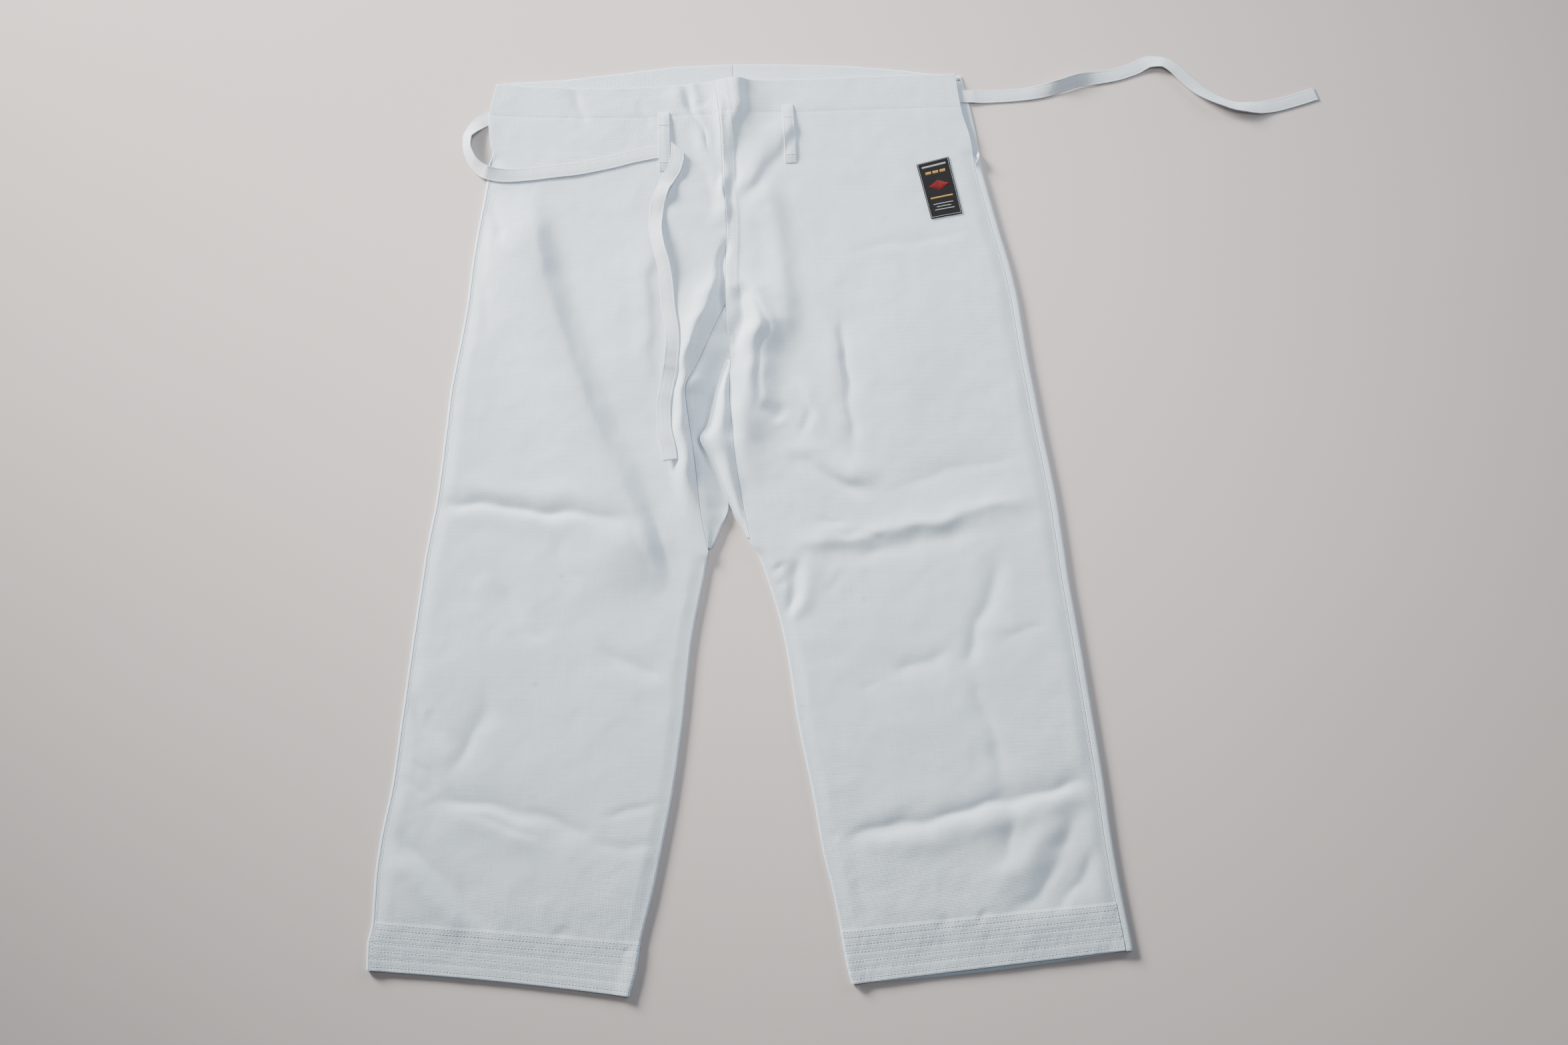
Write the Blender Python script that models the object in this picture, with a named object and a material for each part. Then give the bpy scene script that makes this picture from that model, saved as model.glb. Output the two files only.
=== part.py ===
"""Karate trousers laid flat on their back, front side up, with a drawstring and two belt loops.

Sizes are in millimetres and become metres where a mesh is made. +X is the side of the wearer's
left leg, +Y runs up to the waist and +Z is up. The cloth's underside lies on z = 0.
"""
from collections import namedtuple
import math

import bpy
import numpy as np
from mathutils import Vector
from mathutils.bvhtree import BVHTree

MM = 0.001

# Cloth, seams and folded edges
CLOTH = 1.2              # thickness of the canvas
GAP = 0.3                # between two pieces at a seam, or one lying on another
EDGE_RADIUS = 1.9        # middle of the cloth where it turns round a leg's edge
BACK_MIDDLE = CLOTH / 2
EDGE_TOP = BACK_MIDDLE + 2 * EDGE_RADIUS      # middle of the upper layer beside an edge
INSEAM_TURN = math.radians(78)                # each layer turns about a quarter at the inseam
OPEN_TURN = math.radians(3)                   # the back's edge beside the open side slit
EDGE_FADE = 14.0         # folds die out this far from an edge
SLIT_END = 355.0         # the side slits are open above this
SLIT_BLEND = 10.0
STRIP_LEAST = 3.3        # the back's edge that is turned over onto the front reaches at least this far in
LEAST_CLEARANCE = 0.4    # between the front's underside and the back's upper face, in the hollows
HEIGHT_SOFTNESS = 0.5

# Waist and hem
BACK_WAIST_Y = 466.0     # back waist at the centre-back seam
RIGHT_SIDE_WAIST_Y = 444.0
LEFT_SIDE_WAIST_Y = 452.0
SIDE_CORNER_DROP = 6.0   # from the waist's side corner to the first section below it
CENTRE_BACK_X = -20.5
WAIST_BEND_Y = 360.0     # the front's waist line bends out of straight from here up
WAIST_BEND_RUN = 80.0
RIGHT_WAIST_DIP = 6.0
BACK_BOW_Y = 380.0       # and the back's from here
BACK_BOW_RUN = 70.0
HEM_BOW_RUN = 40.0       # a hem's own bend dies out this far above it
RIGHT_HEM_LIFT = 2.0     # the right front's hem is bowed upwards
LEFT_HEM_SAG = 3.4       # and the left back's downwards, so that it shows under the front's
CASING_DEPTH = 38.0      # turned-down casing inside the back waist
CASING_BOTTOM_Y = 395.0
CASING_FADE = 12.0       # the front rises over the casing's edge from this far below it
CASING_RISE_RUN = 10.0
CASING_INSET = 0.8       # the casing's top edge lies this far below the waist edge
RIGHT_CASING_END_X = -249.0
LEFT_CASING_END_X = 196.0
HEM_DEPTH = 48.0
HEM_STEP = 1.5
HEM_RAISE = 0.6          # the folded hem makes its band thicker
FELL_WIDTH = 13.0        # felled seam at the centre front
FELL_RAISE = 0.7
FELL_END_Y = 215.0

# Tape, loops and label
TAPE_WIDTH = 14.0
TAPE_THICKNESS = 1.1
TAPE_SPACING = 7.0
TAPE_LEAST_FACING = 0.3
LOOP_WIDTH = 11.6
LOOP_THICKNESS = 1.3
LOOP_ARCH = 2.6
LABEL_THICKNESS = 1.0

# Grid of the front cloth
FRONT_COLUMNS = 18
BACK_FLAT_COLUMNS = 5
COLUMN_CROWDING = 1.3    # columns stand closer towards the centre
CURL_STEPS = 2
BACK_CURL_STEPS = 2
BACK_EDGE_STEPS = 4
ROW_STEP_LEG = 30.0
ROW_STEP_CROTCH = 18.0
CROTCH_TOP_Y = 260.0
CROTCH_BOTTOM_Y = -60.0

WHITE_CANVAS = (0.72, 0.77, 0.80)
WHITE_TAPE = (0.76, 0.79, 0.81)
LABEL_BLACK = (0.012, 0.012, 0.014)

# One row for each section of a leg, from waist to hem. y is at the inner edge, and side is the
# outermost x, where the cloth turns over, or the back's free edge beside the slit. inset is how
# far the front's own edge lies inside it. front and back are the inner edges of those panels.
Section = namedtuple("Section", "y side inset front back")
RIGHT_LEG = (
    Section(443, -262.0, -3.0, -39.5, -20.5),
    Section(402, -268.0, -3.3, -33.5, -20.5),
    Section(374, -266.5, -2.0, -31.5, -20.5),
    Section(362, -267.5, 3.2, -30.9, -20.5),
    Section(345, -270.6, 3.3, -30.3, -20.5),
    Section(334, -271.2, 3.3, -29.5, -20.5),
    Section(279, -278.6, 3.3, -25.5, -20.5),
    Section(244, -282.6, 3.3, -26.5, -20.5),
    Section(203, -285.8, 3.3, -26.5, -20.5),
    Section(199, -286.2, 3.3, -28.1, -20.5),
    Section(170, -290.0, 3.3, -40.0, -20.5),
    Section(147, -293.4, 3.3, -49.4, -20.5),
    Section(143.5, -293.9, 3.3, -50.9, -20.5),
    Section(137, -294.9, 3.3, -53.5, -20.5),
    Section(110, -298.6, 3.3, -64.5, -20.5),
    Section(76, -301.1, 3.3, -60.5, -20.5),
    Section(62, -302.2, 3.3, -58.2, -20.5),
    Section(40, -303.8, 3.3, -55.0, -20.5),
    Section(-5, -308.0, 3.3, -49.5, -20.5),
    Section(-30, -312.0, 3.3, -45.0, -29.5),
    Section(-44, -314.0, 3.3, -42.0, -35.5),
    Section(-48, -314.5, 3.3, -41.2, -38.4),
    Section(-51, -315.0, 3.3, -40.5, -40.5),
    Section(-71, -317.0, 3.3, -43.5, -43.5),
    Section(-136, -323.6, 3.3, -55.2, -55.2),
    Section(-219, -331.1, 3.3, -63.5, -63.5),
    Section(-279, -336.3, 3.3, -71.2, -71.2),
    Section(-336, -344.6, 3.3, -81.5, -81.5),
    Section(-372, -347.5, 3.3, -88.5, -88.5),
    Section(-419, -348.3, 3.3, -99.5, -99.5),
    Section(-440, -351.5, 3.3, -102.5, -102.5),
    Section(-465, -351.0, 3.3, -109.0, -109.0),
)
LEFT_LEG = (
    Section(443, 216.2, 6.7, -39.5, -20.5),
    Section(402, 226.0, 10.0, -33.5, -20.5),
    Section(374, 231.2, 7.2, -31.5, -20.5),
    Section(362, 232.4, 6.8, -30.9, -20.5),
    Section(345, 234.6, 7.0, -30.3, -20.5),
    Section(334, 237.3, 7.0, -29.5, -20.5),
    Section(279, 251.2, 7.0, -25.5, -20.5),
    Section(244, 260.4, 7.0, -26.5, -20.5),
    Section(203, 268.3, 7.0, -26.5, -20.5),
    Section(199, 268.8, 7.0, -26.1, -20.5),
    Section(170, 272.3, 7.0, -23.0, -20.5),
    Section(147, 275.4, 7.0, -20.5, -20.5),
    Section(143.5, 275.9, 7.0, -20.6, -20.5),
    Section(137, 276.9, 7.0, -20.8, -20.5),
    Section(110, 281.3, 7.0, -21.2, -20.5),
    Section(76, 286.5, 7.0, -18.5, -20.5),
    Section(62, 288.9, 7.0, -17.2, -20.5),
    Section(40, 292.8, 7.0, -14.8, -20.5),
    Section(-5, 299.8, 7.0, -7.2, -20.5),
    Section(-30, 302.6, 7.0, -2.2, -6.5),
    Section(-38, 303.5, 7.0, -0.7, -2.5),
    Section(-44, 304.2, 7.0, 0.5, 0.5),
    Section(-51, 305.0, 7.0, 5.3, 5.3),
    Section(-71, 307.0, 7.0, 13.8, 13.8),
    Section(-136, 316.0, 7.0, 32.5, 32.5),
    Section(-219, 326.3, 7.0, 45.9, 45.9),
    Section(-279, 333.0, 7.0, 58.5, 58.5),
    Section(-336, 338.0, 7.0, 68.6, 68.6),
    Section(-372, 342.0, 7.0, 77.6, 77.6),
    Section(-419, 348.5, 7.0, 86.7, 86.7),
    Section(-440, 351.7, 7.0, 90.7, 90.7),
    Section(-454, 353.5, 7.0, 94.5, 94.5),
)
RIGHT_CURL_Y = -51.0     # the inseam starts at each gusset's lower tip
LEFT_CURL_Y = -44.0
APEX_Y = -5.0            # where the two legs part
APEX_BLEND = 12.0        # the edges are fully turned this far below the apex, twice over
GUSSET_TOP_Y = 203.0
LEFT_GUSSET_TOP_Y = 143.5

# How much higher a section's outer end lies than its inner end: rows of (inner y, rise)
RIGHT_SLANT = ((443, -2), (300, 0), (-170, 0), (-465, 23))
LEFT_SLANT = ((443, 10), (244, 0), (-136, 0), (-454, 30))

# Edges of the two gusset pieces away from the front panels: rows of (y, x)
GUSSET_RIGHT_EDGE = ((203, -26.0), (147, -21.0), (137, -24.0), (110, -32.0), (76, -40.0),
                     (62, -46.0), (40, -36.5), (-5, -21.5), (-30, -29.5), (-44, -35.5), (-51, -40.5))
GUSSET_LEFT_EDGE = ((147, -23.2), (137, -27.0), (110, -35.0), (76, -43.0), (62, -50.0),
                    (40, -39.0), (-5, -20.2), (-30, -6.5), (-44, -0.4))
GUSSET_COLUMNS = 5
VALLEY_MIDDLE = 3.0      # floor of the hollow under the left gusset's fold
GUSSET_ROLL = 5.0        # height of that fold over the straight way across it
ROLL_GROWS = 40.0        # it grows over this length below the gusset's top
ROLL_ENDS_Y = -30.0
ROLL_DIES = 60.0
FOLD_EDGE_LIFT = 0.3

# The largest folds. left and right are the widths on those sides of the path, walked from its
# first point to its last, rise is the height in its middle and fade the share that dies out at
# each end. A path that starts outside the cloth keeps its height at the edge.
Fold = namedtuple("Fold", "name left right rise fade path")
FOLDS = (
    Fold("right crotch crest", 11, 13, 8.0, 0.35,
         ((-31, 262), (-46, 208), (-60, 160), (-71, 108), (-67, 40), (-53, -12), (-44, -60))),
    Fold("hollow beside the crest", 6, 7, -2.6, 0.3,
         ((-70, 175), (-80, 131), (-86, 95), (-82, 49), (-74, 15), (-66, -20))),
    Fold("left crotch mound", 16, 9, 9.0, 0.35,
         ((-16, 250), (1, 212), (8, 182), (4, 145), (-4, 110), (-6, 60), (2, 10))),
    Fold("pocket under the mound", 5, 5, -5.0, 0.25, ((-12, 222), (-9, 195), (-14, 168), (-22, 150))),
    Fold("valley below the left hip", 10, 10, -2.6, 0.25,
         ((9, 330), (14, 244), (22, 187), (30, 131), (38, 90))),
    Fold("left hip pull", 7, 7, -2.2, 0.3, ((-14, 300), (8, 340), (32, 385))),
    Fold("centre hump", 16, 14, 9.0, 0.4, ((-20, 520), (-19, 440), (-17, 390), (-17, 350))),
    Fold("beside the centre hump", 8, 8, -1.8, 0.3, ((2, 480), (-6, 411), (-14, 375), (-16, 320))),
    Fold("right waist tuck", 6, 6, -2.2, 0.2, ((-74, 470), (-68, 404), (-54, 367), (-38, 320), (-31, 280))),
    Fold("right waist tuck ridge", 5, 5, 2.4, 0.2, ((-66, 470), (-58, 404), (-43, 367), (-30, 325))),
    Fold("small waist pleat", 5, 5, -1.2, 0.3, ((-188, 460), (-181, 415), (-166, 392))),
    Fold("right hip dimple", 8, 8, -1.6, 0.35, ((-275, 335), (-258, 287), (-246, 248))),
    Fold("right side crease", 8, 8, -1.0, 0.3, ((-272, 320), (-268, 244), (-262, 150))),
    Fold("long slope of the right thigh", 22, 22, -2.2, 0.3,
         ((-232, 345), (-201, 229), (-173, 145), (-147, 76), (-119, 15), (-97, -32), (-72, -100))),
    Fold("swell of the right thigh", 34, 34, 2.6, 0.4, ((-135, 300), (-125, 180), (-112, 60))),
    Fold("right knee crease", 7, 8, -1.9, 0.15,
         ((-318, 2), (-278, -3), (-213, -10), (-140, -18), (-100, -24))),
    Fold("right knee roll", 9, 9, 1.6, 0.3, ((-300, 12), (-213, 5), (-130, -3))),
    Fold("below the right knee", 8, 8, -1.2, 0.35, ((-254, -68), (-229, -104), (-212, -126), (-180, -138))),
    Fold("right inner shin", 8, 8, -1.5, 0.3, ((-152, -143), (-112, -159), (-80, -178))),
    Fold("right shin", 9, 9, -1.4, 0.3, ((-240, -172), (-257, -219), (-285, -275))),
    Fold("right outer shin", 7, 7, -1.4, 0.3, ((-327, -170), (-316, -206), (-284, -244))),
    Fold("right ankle crease", 9, 9, -1.5, 0.3, ((-312, -283), (-241, -294), (-172, -312), (-128, -324))),
    Fold("right ankle roll", 10, 10, 1.6, 0.3, ((-300, -300), (-235, -312), (-180, -330))),
    Fold("right hem slant", 8, 8, -1.7, 0.25, ((-338, -300), (-314, -330), (-275, -367), (-232, -416))),
    Fold("right hem slant ridge", 9, 9, 2.2, 0.25, ((-342, -330), (-306, -365), (-255, -412))),
    Fold("left thigh crease", 6, 9, -2.0, 0.25, ((89, 205), (92, 145), (96, 90), (102, 30))),
    Fold("left thigh swell", 30, 30, 2.4, 0.4, ((130, 260), (150, 150), (165, 50))),
    Fold("left inner thigh", 7, 7, -2.0, 0.3, ((33, 53), (61, 39), (87, 25), (120, 0))),
    Fold("left inner thigh dimple", 6, 6, -1.6, 0.35, ((2, 98), (25, 90), (36, 102))),
    Fold("above the left knee", 14, 14, -1.2, 0.3, ((110, -8), (166, 22), (205, 32), (284, 50))),
    Fold("left knee ridge", 8, 8, 2.2, 0.2,
         ((25, -62), (54, -42), (106, -35), (178, -22), (224, -8), (290, 8))),
    Fold("left knee hollow", 8, 8, -1.6, 0.25, ((50, -60), (106, -52), (178, -38), (235, -25))),
    Fold("left inner knee", 6, 6, -1.4, 0.3, ((46, -55), (44, -84), (30, -122))),
    Fold("left shin crease", 8, 8, -1.7, 0.25, ((243, -40), (235, -84), (217, -130), (200, -176))),
    Fold("left long crease", 9, 7, -1.2, 0.2,
         ((208, -165), (228, -215), (242, -290), (244, -330), (226, -360))),
    Fold("left shin dent", 8, 8, -1.3, 0.3, ((122, -174), (156, -162), (200, -143))),
    Fold("left ankle crease", 7, 7, -2.0, 0.15,
         ((82, -328), (109, -316), (172, -305), (235, -289), (335, -264))),
    Fold("left ankle roll", 9, 9, 1.8, 0.3, ((110, -334), (180, -322), (240, -306), (320, -285))),
    Fold("left hem slant", 9, 9, -1.7, 0.25, ((318, -280), (289, -342), (262, -378), (222, -400))),
    Fold("left hem slant ridge", 10, 10, 2.0, 0.3, ((296, -290), (264, -340), (215, -376))),
    Fold("left hem corner", 8, 8, -1.4, 0.3, ((332, -320), (305, -362), (268, -394))),
)

# Route of the tape: x, y of its middle, tilt of its width in degrees, and how far it has been
# turned over where it doubles back on itself, 0 before that fold and 180 after it.
Tape = namedtuple("Tape", "x y tilt over")
RIGHT_TAPE_UNDER = (
    Tape(-252, 408, 0, 0), Tape(-262, 407, 0, 0), Tape(-272, 404, 0, 0), Tape(-281, 399, 4, 0),
    Tape(-289, 390.5, 26, 0), Tape(-293.3, 380, 42, 0), Tape(-291.8, 368, 48, 0),
)
RIGHT_TAPE_OVER = (
    Tape(-291.8, 368, 48, 0), Tape(-287, 357, 48, 0), Tape(-279, 347.5, 40, 0),
    Tape(-268, 341, 24, 0), Tape(-252, 338.5, 8, 0), Tape(-228, 340, 0, 0), Tape(-204, 343, 0, 0),
    Tape(-180, 346, 0, 0), Tape(-160, 350, 0, 0), Tape(-142, 354, 0, 0), Tape(-124, 359, 0, 0),
    Tape(-106, 363, 0, 0), Tape(-94, 365.3, 0, 0), Tape(-85.5, 366.8, 0, 0),
)
RIGHT_TAPE_TURN = Tape(-75.5, 368.2, 0, 90)
RIGHT_TAPE_OUT = (
    Tape(-76.2, 358.5, 0, 180), Tape(-78.5, 347, 0, 180), Tape(-84, 337, 0, 180),
    Tape(-90, 325, 20, 180), Tape(-96, 305, 0, 180),
    Tape(-97.5, 284, 14, 180), Tape(-94, 262, 24, 180), Tape(-88, 240, 16, 180), Tape(-85, 218, 4, 180),
    Tape(-83, 196, 0, 180), Tape(-79.5, 176, -10, 180), Tape(-78, 158, -14, 180), Tape(-79, 138, -6, 180),
    Tape(-83, 114, 0, 180), Tape(-86, 92, 0, 180), Tape(-85, 72, 0, 180), Tape(-81, 54, 0, 180),
    Tape(-78.5, 38, 0, 180),
)
LEFT_TAPE = (
    Tape(199, 429, 0, 0), Tape(210, 429, 0, 0), Tape(222, 429, 0, 0), Tape(234, 429, 0, 0),
    Tape(256, 430, 0, 0), Tape(280, 432, 0, 0), Tape(300, 435, 14, 0), Tape(318, 439.5, 34, 0),
    Tape(337, 446, 30, 0), Tape(356, 450, 8, 0), Tape(378, 454.5, 0, 0), Tape(398, 461.5, 0, 0),
    Tape(414, 468.5, -12, 0), Tape(426, 467.5, -20, 0), Tape(437, 461, -18, 0), Tape(447, 451, -14, 0),
    Tape(457, 441, -14, 0), Tape(470, 430.5, -24, 0), Tape(486, 422, -32, 0), Tape(503, 417, -28, 0),
    Tape(520, 416.5, -12, 0), Tape(538, 419, 0, 0), Tape(560, 425, 0, 0), Tape(584, 433, 0, 0),
)
# The tape clears what lies under these shares of its half width and this far along its route
TAPE_SIDE_SAMPLES = (-1.0, -0.5, 0.0, 0.5, 1.0)
TAPE_WAY_SAMPLES = (-9.0, -6.0, -3.0, 0.0, 3.0, 6.0, 9.0)

# Middle line of each belt loop, from its top to its bottom, and the label's corners
RIGHT_LOOP = ((-91.3, 409.0), (-89.0, 344.0))
LEFT_LOOP = ((36.0, 418.0), (39.5, 353.0))
LABEL_CORNERS = ((167.5, 351.0), (200.5, 360.0), (213.5, 298.0), (181.5, 292.0))


def clear_scene():
    for thing in list(bpy.data.objects):
        bpy.data.objects.remove(thing, do_unlink=True)


def canvas_material(name, colour, roughness):
    material = bpy.data.materials.new(name)
    material.use_nodes = True
    shader = material.node_tree.nodes["Principled BSDF"]
    shader.inputs["Base Color"].default_value = (*colour, 1.0)
    shader.inputs["Roughness"].default_value = roughness
    shader.inputs["Metallic"].default_value = 0.0
    return material


def smoothstep(value):
    share = np.clip(value, 0.0, 1.0)
    return share * share * (3 - 2 * share)


def through_rows(rows, wanted):
    """A smooth line through rows of (y, value) that never overshoots them, read at wanted y."""
    table = np.array(sorted(rows), dtype=float)
    y = table[:, 0]
    value = table[:, 1]
    step = np.diff(y)
    slope = np.diff(value) / step
    tangent = np.zeros(len(y))
    same_way = slope[:-1] * slope[1:] > 0
    safe = np.where(same_way, slope[:-1] + slope[1:], 1.0)
    tangent[1:-1] = np.where(same_way, 2 * slope[:-1] * slope[1:] / safe, 0.0)
    tangent[0] = slope[0]
    tangent[-1] = slope[-1]
    place = np.clip(np.searchsorted(y, wanted, side="right") - 1, 0, len(step) - 1)
    share = (wanted - y[place]) / step[place]
    run = step[place]
    return (value[place] * (1 + 2 * share) * (1 - share) ** 2
            + tangent[place] * run * share * (1 - share) ** 2
            + value[place + 1] * share ** 2 * (3 - 2 * share)
            + tangent[place + 1] * run * share ** 2 * (share - 1))


def section_heights(sections):
    """The y of every row of a leg's grid: each table row, and more between where they are far apart."""
    hem = sections[-1].y
    marks = {float(row.y) for row in sections} | {hem + HEM_DEPTH, hem + HEM_DEPTH - HEM_STEP}
    marks |= {SLIT_END + SLIT_BLEND / 2, SLIT_END, SLIT_END - SLIT_BLEND / 2}
    marks = sorted(marks, reverse=True)
    rows = [marks[0]]
    for upper, lower in zip(marks[:-1], marks[1:]):
        in_crotch = CROTCH_BOTTOM_Y <= lower and upper <= CROTCH_TOP_Y
        limit = ROW_STEP_CROTCH if in_crotch else ROW_STEP_LEG
        count = max(1, math.ceil((upper - lower) / limit))
        rows += [upper + (lower - upper) * part / count for part in range(1, count + 1)]
    return np.array(rows)


def column(sections, name, y):
    return through_rows([(row.y, getattr(row, name)) for row in sections], y)


def fold_height(fold, x, y):
    """A bell across the fold's path, of its own width on each side, that dies out at both ends."""
    path = np.array(fold.path, dtype=float)
    runs = np.diff(path, axis=0)
    lengths = np.hypot(runs[:, 0], runs[:, 1])
    total = lengths.sum()
    nearest = np.full(x.shape, np.inf)
    side = np.zeros(x.shape)
    travel = np.zeros(x.shape)
    before = 0.0
    for start, run, length in zip(path[:-1], runs, lengths):
        share = np.clip(((x - start[0]) * run[0] + (y - start[1]) * run[1]) / length ** 2, 0.0, 1.0)
        away_x = x - start[0] - share * run[0]
        away_y = y - start[1] - share * run[1]
        distance = np.hypot(away_x, away_y)
        closer = distance < nearest
        nearest = np.where(closer, distance, nearest)
        side = np.where(closer, run[0] * away_y - run[1] * away_x, side)
        travel = np.where(closer, before + share * length, travel)
        before += length
    width = np.where(side > 0, fold.left, fold.right)
    fade = fold.fade * total
    ends = smoothstep(travel / fade) * smoothstep((total - travel) / fade)
    return fold.rise * ends * np.exp(-0.5 * (nearest / width) ** 2)


def front_height(x, y):
    """Middle of the front cloth over the floor: level, plus every fold, never down into the back."""
    height = np.full(x.shape, EDGE_TOP)
    for fold in FOLDS:
        height = height + fold_height(fold, x, y)
    over_casing = (CLOTH + GAP) * smoothstep((y - CASING_BOTTOM_Y + CASING_FADE) / CASING_RISE_RUN)
    floor = CLOTH + LEAST_CLEARANCE + CLOTH / 2 + over_casing
    return floor + HEIGHT_SOFTNESS * np.logaddexp(0.0, (height - floor) / HEIGHT_SOFTNESS)


def closed_wall(name, middle, above, below, material, upright=None):
    """A wall round a grid of middle points, pushed above and below along the grid's normals.

    Where upright is 1 the points are pushed straight up and down, so that the edges of two
    pieces at a seam stay the same distance apart whatever their slopes.
    """
    rows, columns = middle.shape[:2]
    down = np.gradient(middle, axis=0)
    across = np.gradient(middle, axis=1)
    normal = np.cross(down, across)
    normal /= np.linalg.norm(normal, axis=2, keepdims=True)
    if normal[rows // 2, columns // 2, 2] < 0:
        normal = -normal
    if upright is not None:
        normal = normal + (np.array([0.0, 0.0, 1.0]) - normal) * upright[..., None]
    upper = middle + normal * above[..., None]
    lower = middle - normal * below[..., None]
    points = np.concatenate([upper.reshape(-1, 3), lower.reshape(-1, 3)]) * MM
    size = rows * columns
    faces = []
    for row in range(rows - 1):
        for col in range(columns - 1):
            a = row * columns + col
            b, c, d = a + 1, a + columns + 1, a + columns
            faces += [(a, b, c), (a, c, d)]
            faces += [(size + a, size + c, size + b), (size + a, size + d, size + c)]
    rim = [col for col in range(columns)]
    rim += [row * columns + columns - 1 for row in range(1, rows)]
    rim += [(rows - 1) * columns + col for col in range(columns - 2, -1, -1)]
    rim += [row * columns for row in range(rows - 2, 0, -1)]
    for here, there in zip(rim, rim[1:] + rim[:1]):
        faces += [(here, size + here, size + there), (here, size + there, there)]
    return solid_from(name, points, faces, material)


def solid_from(name, points, faces, material):
    """One object from points in metres and triangles, with its faces turned outwards."""
    corners = np.array(points)
    tri = corners[np.array(faces)]
    volume = np.einsum("ij,ij->i", tri[:, 0], np.cross(tri[:, 1], tri[:, 2])).sum()
    if volume < 0:
        faces = [face[::-1] for face in faces]
    mesh = bpy.data.meshes.new(name)
    mesh.from_pydata([tuple(point) for point in corners], [], faces)
    mesh.materials.append(material)
    mesh.shade_smooth()
    mesh.set_sharp_from_angle(angle=math.radians(50))
    thing = bpy.data.objects.new(name, mesh)
    bpy.context.collection.objects.link(thing)
    return thing


def turned_edge(turn, arc_length, steps):
    """Plan reach and rise along an arc of given length that bends by turn, one row for each step."""
    bend = np.maximum(turn, 1e-4)[:, None]
    angle = bend * np.arange(1, steps + 1) / steps
    arc = (arc_length * np.ones(len(turn)))[:, None] / bend
    return arc * np.sin(angle), arc * (1 - np.cos(angle))


def apex_turn(y):
    """How far an edge between the legs is turned: not at all at the apex, fully a little below."""
    return INSEAM_TURN * smoothstep((APEX_Y - y) / APEX_BLEND - 1)


def front_panel(name, sections, slant, side_sign, curl_y, material):
    """A leg's front: sections from the side edge to the inner edge, with all its folds."""
    y_in = section_heights(sections)
    y_out = y_in + through_rows(slant, y_in)
    x_out = column(sections, "side", y_in) - side_sign * column(sections, "inset", y_in)
    x_in = column(sections, "front", y_in) + side_sign * GAP / 2
    turn = INSEAM_TURN * smoothstep((curl_y - y_in) / APEX_BLEND)
    reach, drop = turned_edge(turn, EDGE_RADIUS * INSEAM_TURN, CURL_STEPS)
    flat_share = 1 - (1 - np.linspace(0, 1, FRONT_COLUMNS)) ** COLUMN_CROWDING
    away = np.stack([x_in - x_out, y_in - y_out], axis=1)
    length = np.linalg.norm(away, axis=1)
    along = away / length[:, None]
    end_reach = reach[:, -1] + CLOTH / 2 * np.sin(turn)
    flat = (length - end_reach)[:, None] * flat_share
    curl = (length - end_reach)[:, None] + reach
    distance = np.concatenate([flat, curl], axis=1)
    x = x_out[:, None] + along[:, :1] * distance
    y = y_out[:, None] + along[:, 1:] * distance
    share = distance / length[:, None]
    if side_sign < 0:
        upward = smoothstep((y_in[:, None] - WAIST_BEND_Y) / WAIST_BEND_RUN)
        y = y - RIGHT_WAIST_DIP * np.sin(np.pi * share) * upward
        downward = smoothstep(1 - (y_in[:, None] - sections[-1].y) / HEM_BOW_RUN)
        y = y + RIGHT_HEM_LIFT * np.sin(np.pi * share) * downward
    height = front_height(x, y)
    closed = smoothstep((SLIT_END + SLIT_BLEND - y_in) / SLIT_BLEND)[:, None]
    curled = (turn / INSEAM_TURN)[:, None]
    near_side = closed * (1 - smoothstep(distance / EDGE_FADE))
    near_inner = curled * (1 - smoothstep(((length - end_reach)[:, None] - distance) / EDGE_FADE))
    height = height + (EDGE_TOP - height) * np.maximum(near_side, near_inner)
    height[:, FRONT_COLUMNS:] = (height[:, FRONT_COLUMNS:] * (1 - curled)
                                 + (height[:, FRONT_COLUMNS - 1:FRONT_COLUMNS] - drop) * curled)
    middle = np.stack([x, y, height], axis=2)
    hem = sections[-1].y
    above = np.full(x.shape, CLOTH / 2)
    above += HEM_RAISE * (y_in <= hem + HEM_DEPTH - HEM_STEP + 0.01)[:, None]
    if side_sign > 0:
        felled = (length[:, None] - distance <= FELL_WIDTH) & (y_in[:, None] > FELL_END_Y)
        above += FELL_RAISE * felled
    upright = np.zeros(x.shape)
    upright[:, FRONT_COLUMNS:] = 1 - curled
    return closed_wall(name, middle, above, np.full(x.shape, CLOTH / 2), material, upright)


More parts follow.
